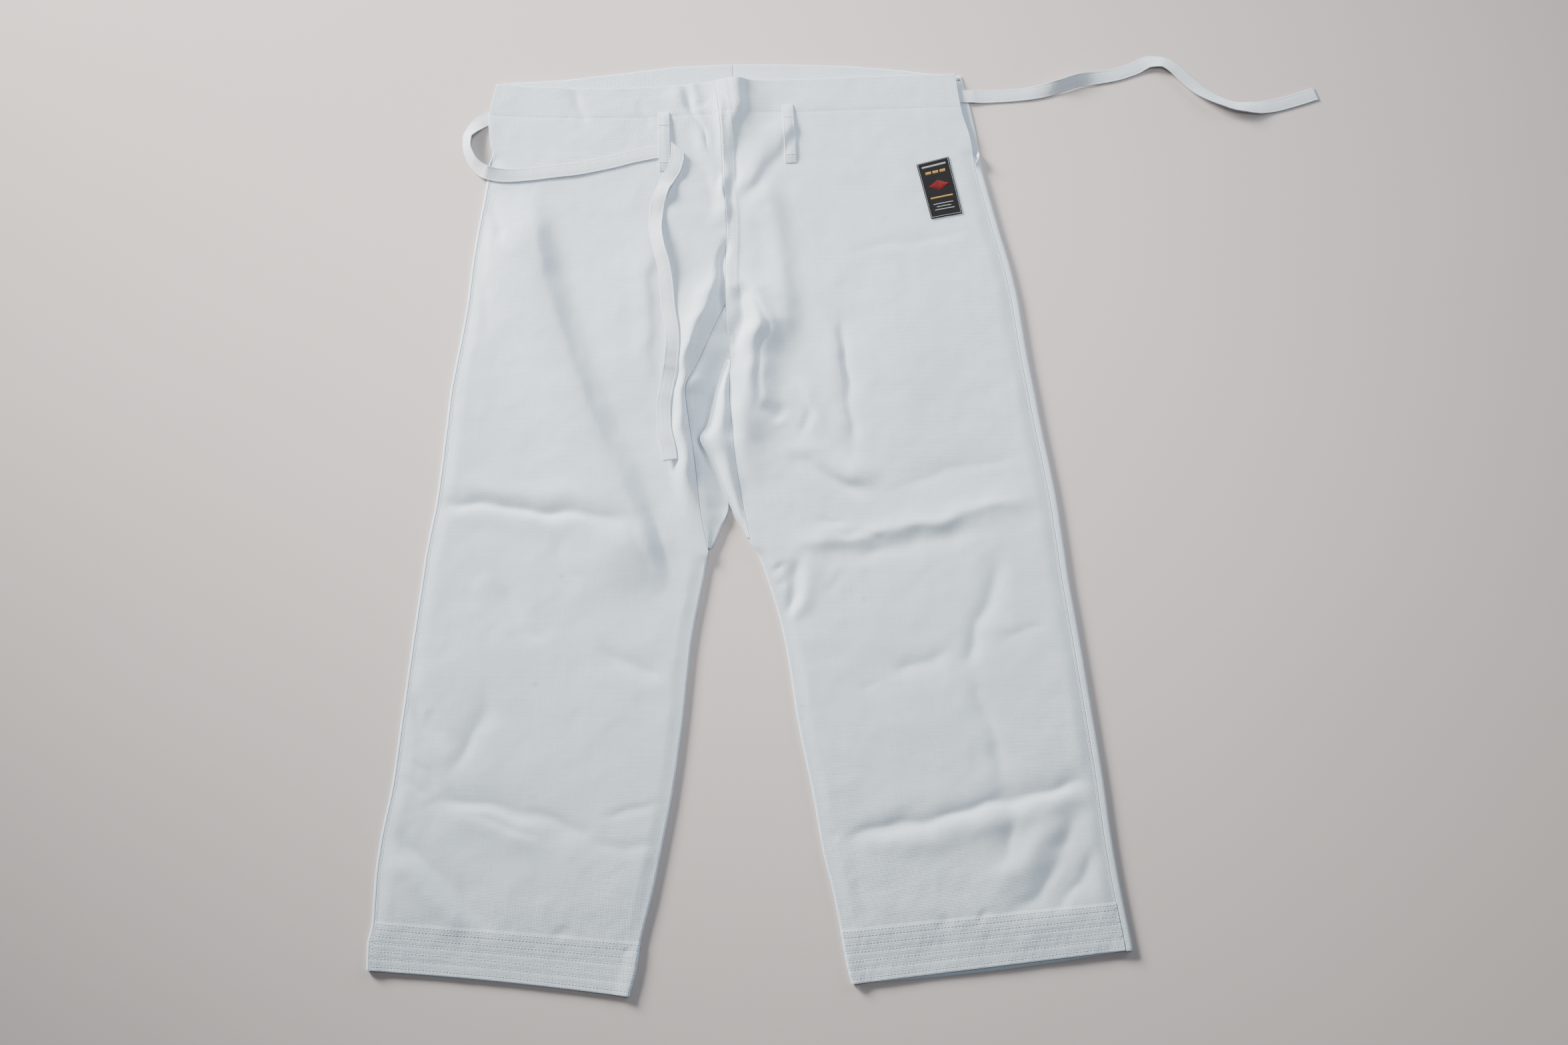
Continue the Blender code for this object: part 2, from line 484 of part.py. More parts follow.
def back_panel(name, sections, slant, side_sign, side_waist_y, bow, hem_sag, material):
    """A leg's back: flat on the floor, turned up a quarter at the inseam and right over at the side."""
    y_in = section_heights(sections)
    y_out = y_in + through_rows(slant, y_in)
    side = column(sections, "side", y_in)
    inset = column(sections, "inset", y_in)
    inner = column(sections, "back", y_in) + side_sign * GAP / 2
    y_in = np.concatenate([[BACK_WAIST_Y], y_in])
    y_out = np.concatenate([[side_waist_y], y_out])
    y_out[1] = side_waist_y - SIDE_CORNER_DROP
    side, inset, inner = (np.concatenate([[line[0]], line]) for line in (side, inset, inner))
    away = np.stack([side - inner, y_out - y_in], axis=1)
    length = np.linalg.norm(away, axis=1)
    along = away / length[:, None]
    turn_in = apex_turn(y_in)
    reach_in, rise_in = turned_edge(turn_in, EDGE_RADIUS * INSEAM_TURN, BACK_CURL_STEPS)
    start = reach_in[:, -1] + CLOTH / 2 * np.sin(turn_in)
    open_share = smoothstep((y_in - SLIT_END + SLIT_BLEND) / (2 * SLIT_BLEND))
    turn_out = math.pi + (OPEN_TURN - math.pi) * open_share
    reach_out, rise_out = turned_edge(turn_out, EDGE_RADIUS * math.pi, BACK_EDGE_STEPS)
    strip = np.maximum(inset, STRIP_LEAST) - EDGE_RADIUS - CLOTH / 2 - GAP
    strip_reach = reach_out[:, -1] + strip * np.cos(turn_out)
    strip_rise = rise_out[:, -1] + strip * np.sin(turn_out)
    outermost = np.maximum(reach_out.max(axis=1), strip_reach) + CLOTH / 2 * (1 - open_share)
    end = length - outermost
    inner_arc = start[:, None] - reach_in[:, ::-1]
    flat = start[:, None] + (end - start)[:, None] * np.linspace(0, 1, BACK_FLAT_COLUMNS)
    outer_arc = end[:, None] + reach_out
    strip_end = (end + strip_reach)[:, None]
    distance = np.concatenate([inner_arc, flat, outer_arc, strip_end], axis=1)
    rise = np.concatenate([rise_in[:, ::-1], np.zeros(flat.shape), rise_out, strip_rise[:, None]], axis=1)
    x = inner[:, None] + along[:, :1] * distance
    y = y_in[:, None] + along[:, 1:] * distance
    top = smoothstep((y_in - BACK_BOW_Y) / BACK_BOW_RUN)[:, None]
    flat_columns = slice(BACK_CURL_STEPS, BACK_CURL_STEPS + BACK_FLAT_COLUMNS)
    y[:, flat_columns] += top * np.array(bow)
    low = smoothstep(1 - (y_in - sections[-1].y) / HEM_BOW_RUN)[:, None]
    y[:, flat_columns] -= low * hem_sag * np.sin(np.pi * np.linspace(0, 1, BACK_FLAT_COLUMNS))
    middle = np.stack([x, y, BACK_MIDDLE + rise], axis=2)
    half = np.full(x.shape, CLOTH / 2)
    return closed_wall(name, middle, half, half, material)


def back_casing(name, ends, waist, bow, material):
    """The back waist's turned-down edge, lying on the inside of the back panel."""
    share = np.linspace(0, 1, BACK_FLAT_COLUMNS)
    x = ends[0] + (ends[1] - ends[0]) * share
    top = waist[0] + (waist[1] - waist[0]) * share + np.array(bow) - CASING_INSET
    depth = np.array([0.0, 0.5, 1.0])[:, None] * CASING_DEPTH
    grid_x = np.broadcast_to(x, (3, BACK_FLAT_COLUMNS))
    middle = np.stack([grid_x, top - depth, np.full(grid_x.shape, CLOTH * 1.5 + GAP)], axis=2)
    half = np.full(grid_x.shape, CLOTH / 2)
    return closed_wall(name, middle, half, half, material)


def gusset(name, rows_y, panel_x, panel_height, edge_x, edge_height, roll, curl, seamed, material):
    """A gusset piece: from its seam with a front panel to its other edge, with a roll between."""
    share = np.linspace(0, 1, GUSSET_COLUMNS + 1)[None, :]
    width = np.abs(edge_x - panel_x)
    curl = curl * smoothstep(width / 2 - 1)
    reach, drop = turned_edge(curl, np.minimum(EDGE_RADIUS * INSEAM_TURN, width / 2), BACK_CURL_STEPS)
    way = np.sign(edge_x - panel_x)
    end_reach = reach[:, -1] + CLOTH / 2 * np.sin(curl)
    end_x = edge_x - way * end_reach
    x = panel_x[:, None] + (end_x - panel_x)[:, None] * share
    ease = smoothstep(share)
    height = panel_height[:, None] * (1 - ease) + edge_height[:, None] * ease
    height = height + roll[:, None] * np.sin(np.pi * share) ** 1.5
    x = np.concatenate([x, end_x[:, None] + way[:, None] * reach], axis=1)
    height = np.concatenate([height, height[:, -1:] - drop], axis=1)
    middle = np.stack([x, np.broadcast_to(rows_y[:, None], x.shape), height], axis=2)
    half = np.full(x.shape, CLOTH / 2)
    upright = np.zeros(x.shape)
    upright[:, 0] = 1.0
    upright[:, GUSSET_COLUMNS:] = seamed[:, None]
    upright = np.maximum(upright, (1 - smoothstep(width / 4 - 1))[:, None])
    return closed_wall(name, middle, half, half, material, upright)


def right_gusset_lines(rows):
    """The right gusset's seam and far edge in each row, and the cloth's height at both."""
    seam = column(RIGHT_LEG, "front", rows) + GAP / 2
    seamed = rows > LEFT_GUSSET_TOP_Y
    far = np.where(seamed, column(LEFT_LEG, "front", rows) - GAP / 2, through_rows(GUSSET_RIGHT_EDGE, rows))
    far_height = np.where(seamed, front_height(far, rows), VALLEY_MIDDLE)
    far_height = far_height + (EDGE_TOP - far_height) * smoothstep((APEX_Y - rows) / APEX_BLEND)
    return seam, front_height(seam, rows), far, far_height, seamed.astype(float)


def make_gussets(material):
    """Two pieces between the front panels: the left one's fold lies over the right one's edge."""
    rows = section_heights(RIGHT_LEG)
    rows = rows[(rows < GUSSET_TOP_Y) & (rows > RIGHT_CURL_Y)]
    seam, seam_height, far, far_height, seamed = right_gusset_lines(rows)
    gusset("gusset_right", rows, seam, seam_height, far, far_height,
           np.zeros(len(rows)), apex_turn(rows), seamed, material)
    rows = section_heights(LEFT_LEG)
    rows = rows[(rows <= LEFT_GUSSET_TOP_Y) & (rows > LEFT_CURL_Y)]
    seam, seam_height, far, far_height, seamed = right_gusset_lines(rows)
    edge = through_rows(GUSSET_LEFT_EDGE, rows)
    share = smoothstep((edge - 1.5 - seam) / (far - seam))
    below = seam_height + (far_height - seam_height) * share
    edge_height = np.maximum(VALLEY_MIDDLE, np.where(rows > APEX_Y, below, 0.0))
    edge_height = edge_height + CLOTH + GAP + FOLD_EDGE_LIFT
    seam = column(LEFT_LEG, "front", rows) - GAP / 2
    roll = GUSSET_ROLL * smoothstep((LEFT_GUSSET_TOP_Y - rows) / ROLL_GROWS)
    roll = roll * smoothstep((rows - ROLL_ENDS_Y) / ROLL_DIES)
    gusset("gusset_left", rows, seam, front_height(seam, rows), edge, edge_height,
           roll, apex_turn(rows), np.zeros(len(rows)), material)


def tree_of(thing):
    points = [vertex.co.copy() for vertex in thing.data.vertices]
    return BVHTree.FromPolygons(points, [tuple(face.vertices) for face in thing.data.polygons])


def top_of(trees, x, y):
    """Highest point of the given pieces, or of the floor, under one place, in millimetres."""
    best = 0.0
    for tree in trees:
        hit = tree.ray_cast(Vector((x * MM, y * MM, 0.2)), Vector((0, 0, -1)))[0]
        if hit is not None:
            best = max(best, hit.z / MM)
    return best


def highest_near(trees, x, y, reach):
    spots = [(0, 0), (reach, 0), (-reach, 0), (0, reach), (0, -reach)]
    return max(top_of(trees, x + dx, y + dy) for dx, dy in spots)


def lay_on(name, trees, corners, columns, rows, thickness, lift, material):
    """A patch between four corners, made of its carrier's points moved out, with lift(share) added."""
    corners = np.array(corners, dtype=float)
    across = np.linspace(0, 1, columns)
    down = np.linspace(0, 1, rows)
    middle = np.zeros((rows, columns, 3))
    for row, v in enumerate(down):
        first = corners[0] + (corners[3] - corners[0]) * v
        last = corners[1] + (corners[2] - corners[1]) * v
        for col, u in enumerate(across):
            x, y = first + (last - first) * u
            middle[row, col] = x, y, highest_near(trees, x, y, 2.5) + GAP + thickness / 2 + lift(v)
    half = np.full((rows, columns), thickness / 2)
    return closed_wall(name, middle, half, half, material)


def strip_corners(line, width):
    start, end = np.array(line[0]), np.array(line[1])
    way = (end - start) / np.linalg.norm(end - start)
    half = np.array([way[1], -way[0]]) * width / 2
    return (start + half, start - half, end - half, end + half)


def loop_arch(share):
    """A belt loop is sewn down at its ends and stands off between them."""
    return LOOP_ARCH * math.sin(math.pi * share) ** 0.8


def tape_frames(rows):
    """Middle, width direction and face direction of the tape at each row of its route."""
    places = np.array([(row.x, row.y) for row in rows], dtype=float)
    way = np.gradient(places, axis=0)
    way /= np.linalg.norm(way, axis=1, keepdims=True)
    frames = []
    for index, row in enumerate(rows):
        heading = way[index]
        width = np.array([-heading[1], heading[0], 0.0])
        face = np.array([0.0, 0.0, 1.0])
        stretch = 1.0
        if row.over == 90:
            before = places[index] - places[index - 1]
            after = places[index + 1] - places[index]
            before, after = before / np.linalg.norm(before), after / np.linalg.norm(after)
            crease = -(before + after) / np.linalg.norm(before + after)
            stretch = 1 / abs(before[0] * crease[1] - before[1] * crease[0])
            width = np.array([crease[0], crease[1], 0.0])
            outward = before - after
            face = -np.array([outward[0], outward[1], 0.0]) / np.linalg.norm(outward)
        elif row.over == 180:
            width = -width
            face = -face
        lean = math.radians(row.tilt)
        if row.over != 90:
            width, face = (width * math.cos(lean) + face * math.sin(lean),
                           face * math.cos(lean) - width * math.sin(lean))
        frames.append((places[index], width, face, stretch))
    return frames


def tape_height(frame, trees):
    """Height of the tape's middle at which its underside just clears what it lies on."""
    place, width, face, stretch = frame
    half = TAPE_WIDTH / 2 * stretch
    onward = np.array([width[1], -width[0]])
    onward /= np.linalg.norm(onward)
    best = 0.0
    for share in TAPE_SIDE_SAMPLES:
        for step in TAPE_WAY_SAMPLES:
            spot = place + width[:2] * half * share + onward * step
            under = highest_near(trees, spot[0], spot[1], 1.0)
            needed = under + GAP - width[2] * half * share
            best = max(best, needed + TAPE_THICKNESS / 2 * max(abs(face[2]), TAPE_LEAST_FACING))
    return best


def between_rows(rows, spacing):
    """The route's rows and evenly set ones between, on a smooth curve through them."""
    places = np.array([(row.x, row.y, row.tilt) for row in rows], dtype=float)
    walked = np.concatenate([[0], np.cumsum(np.hypot(*np.diff(places[:, :2], axis=0).T))])
    count = max(2, round(walked[-1] / spacing) + 1)
    wanted = np.linspace(0, walked[-1], count)
    lines = [through_rows(list(zip(walked, places[:, axis])), wanted) for axis in range(3)]
    return [Tape(x, y, tilt, rows[0].over) for x, y, tilt in zip(*lines)]


def tape_solid(name, stations, material):
    """The tape as one solid: a thin oblong carried along its stations."""
    points = []
    for middle, width, face, stretch in stations:
        half = width * TAPE_WIDTH / 2 * stretch
        thick = face * TAPE_THICKNESS / 2
        points += [middle + half + thick, middle - half + thick, middle - half - thick, middle + half - thick]
    count = len(stations)
    faces = [(0, 1, 2), (0, 2, 3)]
    last = 4 * (count - 1)
    faces += [(last, last + 2, last + 1), (last, last + 3, last + 2)]
    for step in range(count - 1):
        for corner in range(4):
            a = 4 * step + corner
            b = 4 * step + (corner + 1) % 4
            if corner == 2:
                faces += [(a, a + 4, b), (a + 4, b + 4, b)]
            else:
                faces += [(a, a + 4, b + 4), (a, b + 4, b)]
    return solid_from(name, np.array(points) * MM, faces, material)


def smooth_heights(frames, heights):
    """Stations whose heights never drop below the given ones and don't jump from one to the next."""
    raised = np.array(heights)
    for _ in range(2):
        padded = np.concatenate([raised[:1], raised, raised[-1:]])
        raised = np.maximum(raised, (padded[:-2] + padded[1:-1] + padded[2:]) / 3)
    return [(np.array([place[0], place[1], height]), width, face, stretch)
            for (place, width, face, stretch), height in zip(frames, raised)]


def lay_tape(rows, trees):
    frames = tape_frames(rows)
    return smooth_heights(frames, [tape_height(frame, trees) for frame in frames])


def right_drawstring(panel, back, loop, material):
    """Out of the casing, round to the belt loop, under it, folded over and down the leg."""
    floor_part = lay_tape(between_rows(RIGHT_TAPE_UNDER, TAPE_SPACING), [tree_of(back)])[:-1]
    below = [tree_of(panel), tree_of(back)]
    inward = between_rows(RIGHT_TAPE_OVER, TAPE_SPACING)
    outward = between_rows(RIGHT_TAPE_OUT, TAPE_SPACING)
    frames = tape_frames(inward + [RIGHT_TAPE_TURN] + outward)
    turn = len(inward)
    heights = [tape_height(frame, below) for frame in frames[:turn]]
    below.append(tree_of(loop))
    layer = TAPE_THICKNESS + GAP
    heights.append(heights[-1] + layer / 2)
    heights += [tape_height(frame, below) for frame in frames[turn + 1:]]
    for index in range(turn + 1, turn + 3):
        heights[index] = max(heights[index], heights[turn - 1] + layer)
    over = smooth_heights(frames[:turn], heights[:turn])
    fold = [(np.array([*frames[turn][0], heights[turn]]), *frames[turn][1:])]
    hanging = smooth_heights(frames[turn + 1:], heights[turn + 1:])
    return tape_solid("drawstring_right", floor_part + over + fold + hanging, material)


def left_drawstring(back, material):
    """Out of the casing at the slit, over the back's edge and away across the floor."""
    stations = lay_tape(between_rows(LEFT_TAPE, TAPE_SPACING), [tree_of(back)])
    return tape_solid("drawstring_left", stations, material)


def build():
    clear_scene()
    canvas = canvas_material("bleached cotton canvas", WHITE_CANVAS, 0.9)
    twill = canvas_material("cotton twill tape", WHITE_TAPE, 0.85)
    woven = canvas_material("black woven label", LABEL_BLACK, 0.6)

    right_bow = (0.0, 2.5, 0.0, -2.0, 0.0)
    left_bow = (0.0, 3.0, 5.0, 4.0, 0.0)
    back_right = back_panel("back_panel_right", RIGHT_LEG, RIGHT_SLANT, -1,
                            RIGHT_SIDE_WAIST_Y, right_bow, -RIGHT_HEM_LIFT / 2, canvas)
    back_left = back_panel("back_panel_left", LEFT_LEG, LEFT_SLANT, 1,
                           LEFT_SIDE_WAIST_Y, left_bow, LEFT_HEM_SAG, canvas)
    back_casing("back_casing_right", (CENTRE_BACK_X - GAP / 2, RIGHT_CASING_END_X),
                (BACK_WAIST_Y, RIGHT_SIDE_WAIST_Y + 1), right_bow, canvas)
    back_casing("back_casing_left", (CENTRE_BACK_X + GAP / 2, LEFT_CASING_END_X),
                (BACK_WAIST_Y, LEFT_SIDE_WAIST_Y + 1), left_bow, canvas)
    front_right = front_panel("front_panel_right", RIGHT_LEG, RIGHT_SLANT, -1, RIGHT_CURL_Y, canvas)
    front_left = front_panel("front_panel_left", LEFT_LEG, LEFT_SLANT, 1, LEFT_CURL_Y, canvas)
    make_gussets(canvas)

    right_trees = [tree_of(front_right)]
    left_trees = [tree_of(front_left)]
    loop_right = lay_on("belt_loop_right", right_trees, strip_corners(RIGHT_LOOP, LOOP_WIDTH),
                        3, 9, LOOP_THICKNESS, loop_arch, canvas)
    lay_on("belt_loop_left", left_trees, strip_corners(LEFT_LOOP, LOOP_WIDTH),
           3, 9, LOOP_THICKNESS, loop_arch, canvas)
    lay_on("label_patch", left_trees, LABEL_CORNERS, 4, 6, LABEL_THICKNESS, lambda share: 0.0, woven)
    right_drawstring(front_right, back_right, loop_right, twill)
    left_drawstring(back_left, twill)


build()
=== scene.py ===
# %% [markdown]
# # Karate trousers, laid flat
#
# Real karate trousers are cut from heavy bleached cotton canvas: two fronts, two backs and a gusset
# between the legs. The hems are deep and stitched round in rows, and a flat tape runs through the
# waist. This pair lies on its back with the front up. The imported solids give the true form, and this
# script lays finer cloth on them, with its creases, seams and stitches.

# %% The frame
import math
from collections import namedtuple

import bpy
import numpy as np
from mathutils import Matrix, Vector
from mathutils.bvhtree import BVHTree


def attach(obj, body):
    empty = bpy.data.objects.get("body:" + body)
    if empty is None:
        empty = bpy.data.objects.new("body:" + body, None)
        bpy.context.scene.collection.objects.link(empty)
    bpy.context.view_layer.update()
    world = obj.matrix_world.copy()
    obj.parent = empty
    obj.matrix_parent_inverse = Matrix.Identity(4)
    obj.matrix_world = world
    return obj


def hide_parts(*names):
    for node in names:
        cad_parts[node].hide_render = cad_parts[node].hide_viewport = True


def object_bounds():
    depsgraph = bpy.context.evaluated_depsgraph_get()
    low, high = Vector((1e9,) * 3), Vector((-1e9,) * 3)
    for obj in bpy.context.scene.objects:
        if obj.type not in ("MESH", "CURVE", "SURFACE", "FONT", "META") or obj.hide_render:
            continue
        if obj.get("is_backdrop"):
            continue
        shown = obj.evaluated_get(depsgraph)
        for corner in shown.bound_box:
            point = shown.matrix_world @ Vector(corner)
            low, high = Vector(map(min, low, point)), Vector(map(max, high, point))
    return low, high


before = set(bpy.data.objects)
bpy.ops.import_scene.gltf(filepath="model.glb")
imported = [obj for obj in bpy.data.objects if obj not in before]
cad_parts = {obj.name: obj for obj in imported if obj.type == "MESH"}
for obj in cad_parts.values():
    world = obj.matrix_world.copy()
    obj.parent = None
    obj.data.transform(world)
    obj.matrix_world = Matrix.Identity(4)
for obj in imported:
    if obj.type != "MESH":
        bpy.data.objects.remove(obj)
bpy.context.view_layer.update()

MM = 0.001

# %% [markdown]
# ## Camera
#
# The picture was taken from a ladder or stand, almost straight down: the lens leans 12 degrees
# towards the waist. A lens of 35 mm on a 36 mm wide sensor gives the same narrowing of the far end.

# %% Camera
AIM = Vector((0.0325, -0.021, 0.0))
CAMERA_DISTANCE = 1.4877
CAMERA_LEAN = math.radians(11.826)

lens = bpy.data.cameras.new("overhead camera")
lens.lens = 35.0
lens.sensor_width = 36.0
lens.clip_start = 0.05
lens.clip_end = 20.0
camera = bpy.data.objects.new("overhead camera", lens)
camera.location = AIM + CAMERA_DISTANCE * Vector((0, -math.sin(CAMERA_LEAN), math.cos(CAMERA_LEAN)))
camera.rotation_euler = (CAMERA_LEAN, 0.0, 0.0)
bpy.context.collection.objects.link(camera)
bpy.context.scene.camera = camera
print("camera height in m:", round(camera.location.z, 3))

# %% [markdown]
# ## Lines of the cut
#
# A garment is drafted from a few measured lines. Here each leg is a table of sections from waist to
# hem, the same that the solids were cut from. A smooth curve runs through every column of the table,
# so the cloth can be worked out at any height. The curve never bulges past its rows, as a draughting
# spline held by pins would.

# %% Smooth lines through measured rows
UP = np.array([0.0, 0.0, 1.0])


def smoothstep(value):
    """0 below 0, 1 above 1, and 3 v^2 - 2 v^3 between."""
    share = np.clip(value, 0.0, 1.0)
    return share * share * (3 - 2 * share)


def bell(distance, height, width):
    """height * e^(-(distance / width)^2 / 2), the section of a fold or of a sewn furrow."""
    return height * np.exp(-0.5 * (distance / width) ** 2)


def travelled(points):
    """How far each point of a line lies from its first one, measured along the line."""
    return np.concatenate([[0], np.cumsum(np.linalg.norm(np.diff(points, axis=0), axis=1))])


def through_rows(rows, wanted):
    """A cubic through rows of (y, value), its slope the harmonic mean of its neighbours' slopes."""
    table = np.array(sorted(rows), dtype=float)
    y = table[:, 0]
    value = table[:, 1]
    run = np.diff(y)
    slope = np.diff(value) / run
    same_way = slope[:-1] * slope[1:] > 0
    safe = np.where(same_way, slope[:-1] + slope[1:], 1.0)
    inner = np.where(same_way, 2 * slope[:-1] * slope[1:] / safe, 0.0)
    tangent = np.concatenate([slope[:1], inner, slope[-1:]])
    place = np.clip(np.searchsorted(y, wanted, side="right") - 1, 0, len(run) - 1)
    share = (wanted - y[place]) / run[place]
    return (value[place] * (1 + 2 * share) * (1 - share) ** 2
            + tangent[place] * run[place] * share * (1 - share) ** 2
            + value[place + 1] * share ** 2 * (3 - 2 * share)
            + tangent[place + 1] * run[place] * share ** 2 * (share - 1))


def column(sections, name, y):
    """One column of a leg's table as a smooth line, worked out at y."""
    return through_rows([(row.y, getattr(row, name)) for row in sections], y)

# %% Sizes of the cloth, in millimetres
CLOTH = 1.2
GAP = 0.3
EDGE_RADIUS = 1.9
BACK_MIDDLE = CLOTH / 2
EDGE_TOP = BACK_MIDDLE + 2 * EDGE_RADIUS
INSEAM_TURN = math.radians(78)
OPEN_TURN = math.radians(3)
APEX_Y = -5.0
APEX_BLEND = 12.0
SLIT_END = 355.0
SLIT_BLEND = 10.0
STRIP_LEAST = 3.3
EDGE_FADE = 14.0
HEM_DEPTH = 48.0
CASING_DEPTH = 38.0
CASING_BOTTOM_Y = 395.0
CENTRE_BACK_X = -20.5
CENTRE_BACK_TOP_Y = 466.0
UV_START_Y = 470.0    # added to y, so that the weave's map never falls below 0

Section = namedtuple("Section", "y side inset front back")
RIGHT_LEG = (
    Section(443, -262.0, -3.0, -39.5, -20.5),
    Section(402, -268.0, -3.3, -33.5, -20.5),
    Section(374, -266.5, -2.0, -31.5, -20.5),
    Section(362, -267.5, 3.2, -30.9, -20.5),
    Section(345, -270.6, 3.3, -30.3, -20.5),
    Section(334, -271.2, 3.3, -29.5, -20.5),
    Section(279, -278.6, 3.3, -25.5, -20.5),
    Section(244, -282.6, 3.3, -26.5, -20.5),
    Section(203, -285.8, 3.3, -26.5, -20.5),
    Section(199, -286.2, 3.3, -28.1, -20.5),
    Section(170, -290.0, 3.3, -40.0, -20.5),
    Section(147, -293.4, 3.3, -49.4, -20.5),
    Section(143.5, -293.9, 3.3, -50.9, -20.5),
    Section(137, -294.9, 3.3, -53.5, -20.5),
    Section(110, -298.6, 3.3, -64.5, -20.5),
    Section(76, -301.1, 3.3, -60.5, -20.5),
    Section(62, -302.2, 3.3, -58.2, -20.5),
    Section(40, -303.8, 3.3, -55.0, -20.5),
    Section(-5, -308.0, 3.3, -49.5, -20.5),
    Section(-30, -312.0, 3.3, -45.0, -29.5),
    Section(-44, -314.0, 3.3, -42.0, -35.5),
    Section(-48, -314.5, 3.3, -41.2, -38.4),
    Section(-51, -315.0, 3.3, -40.5, -40.5),
    Section(-71, -317.0, 3.3, -43.5, -43.5),
    Section(-136, -323.6, 3.3, -55.2, -55.2),
    Section(-219, -331.1, 3.3, -63.5, -63.5),
    Section(-279, -336.3, 3.3, -71.2, -71.2),
    Section(-336, -344.6, 3.3, -81.5, -81.5),
    Section(-372, -347.5, 3.3, -88.5, -88.5),
    Section(-419, -348.3, 3.3, -99.5, -99.5),
    Section(-440, -351.5, 3.3, -102.5, -102.5),
    Section(-465, -351.0, 3.3, -109.0, -109.0),
)
LEFT_LEG = (
    Section(443, 216.2, 6.7, -39.5, -20.5),
    Section(402, 226.0, 10.0, -33.5, -20.5),
    Section(374, 231.2, 7.2, -31.5, -20.5),
    Section(362, 232.4, 6.8, -30.9, -20.5),
    Section(345, 234.6, 7.0, -30.3, -20.5),
    Section(334, 237.3, 7.0, -29.5, -20.5),
    Section(279, 251.2, 7.0, -25.5, -20.5),
    Section(244, 260.4, 7.0, -26.5, -20.5),
    Section(203, 268.3, 7.0, -26.5, -20.5),
    Section(199, 268.8, 7.0, -26.1, -20.5),
    Section(170, 272.3, 7.0, -23.0, -20.5),
    Section(147, 275.4, 7.0, -20.5, -20.5),
    Section(143.5, 275.9, 7.0, -20.6, -20.5),
    Section(137, 276.9, 7.0, -20.8, -20.5),
    Section(110, 281.3, 7.0, -21.2, -20.5),
    Section(76, 286.5, 7.0, -18.5, -20.5),
    Section(62, 288.9, 7.0, -17.2, -20.5),
    Section(40, 292.8, 7.0, -14.8, -20.5),
    Section(-5, 299.8, 7.0, -7.2, -20.5),
    Section(-30, 302.6, 7.0, -2.2, -6.5),
    Section(-38, 303.5, 7.0, -0.7, -2.5),
    Section(-44, 304.2, 7.0, 0.5, 0.5),
    Section(-51, 305.0, 7.0, 5.3, 5.3),
    Section(-71, 307.0, 7.0, 13.8, 13.8),
    Section(-136, 316.0, 7.0, 32.5, 32.5),
    Section(-219, 326.3, 7.0, 45.9, 45.9),
    Section(-279, 333.0, 7.0, 58.5, 58.5),
    Section(-336, 338.0, 7.0, 68.6, 68.6),
    Section(-372, 342.0, 7.0, 77.6, 77.6),
    Section(-419, 348.5, 7.0, 86.7, 86.7),
    Section(-440, 351.7, 7.0, 90.7, 90.7),
    Section(-454, 353.5, 7.0, 94.5, 94.5),
)
RIGHT_SLANT = ((443, -2), (300, 0), (-170, 0), (-465, 23))
LEFT_SLANT = ((443, 10), (244, 0), (-136, 0), (-454, 30))

Leg = namedtuple("Leg", "name sign sections slant curl_y side_waist_y bow hem_sag hem_lift")
RIGHT = Leg("right", -1, RIGHT_LEG, RIGHT_SLANT, curl_y=-51.0, side_waist_y=444.0,
            bow=(0.0, 2.5, 0.0, -2.0, 0.0), hem_sag=-1.0, hem_lift=2.0)
LEFT = Leg("left", 1, LEFT_LEG, LEFT_SLANT, curl_y=-44.0, side_waist_y=452.0,
           bow=(0.0, 3.0, 5.0, 4.0, 0.0), hem_sag=3.4, hem_lift=0.0)
print("sections:", len(RIGHT_LEG), len(LEFT_LEG))

# %% [markdown]
# ## Folds and creases
#
# Canvas that has been folded in a drawer keeps soft creases, and it bunches where the legs meet.
# Each fold is a path with a width on either side and a height: a bell curve carried along the path,
# which dies out at both ends. The first table holds the large folds, as in the solids. The second
# holds the finer creases that only this finer cloth can show. Simulation could crumple the cloth, but
# it wouldn't put each crease where this pair has it.

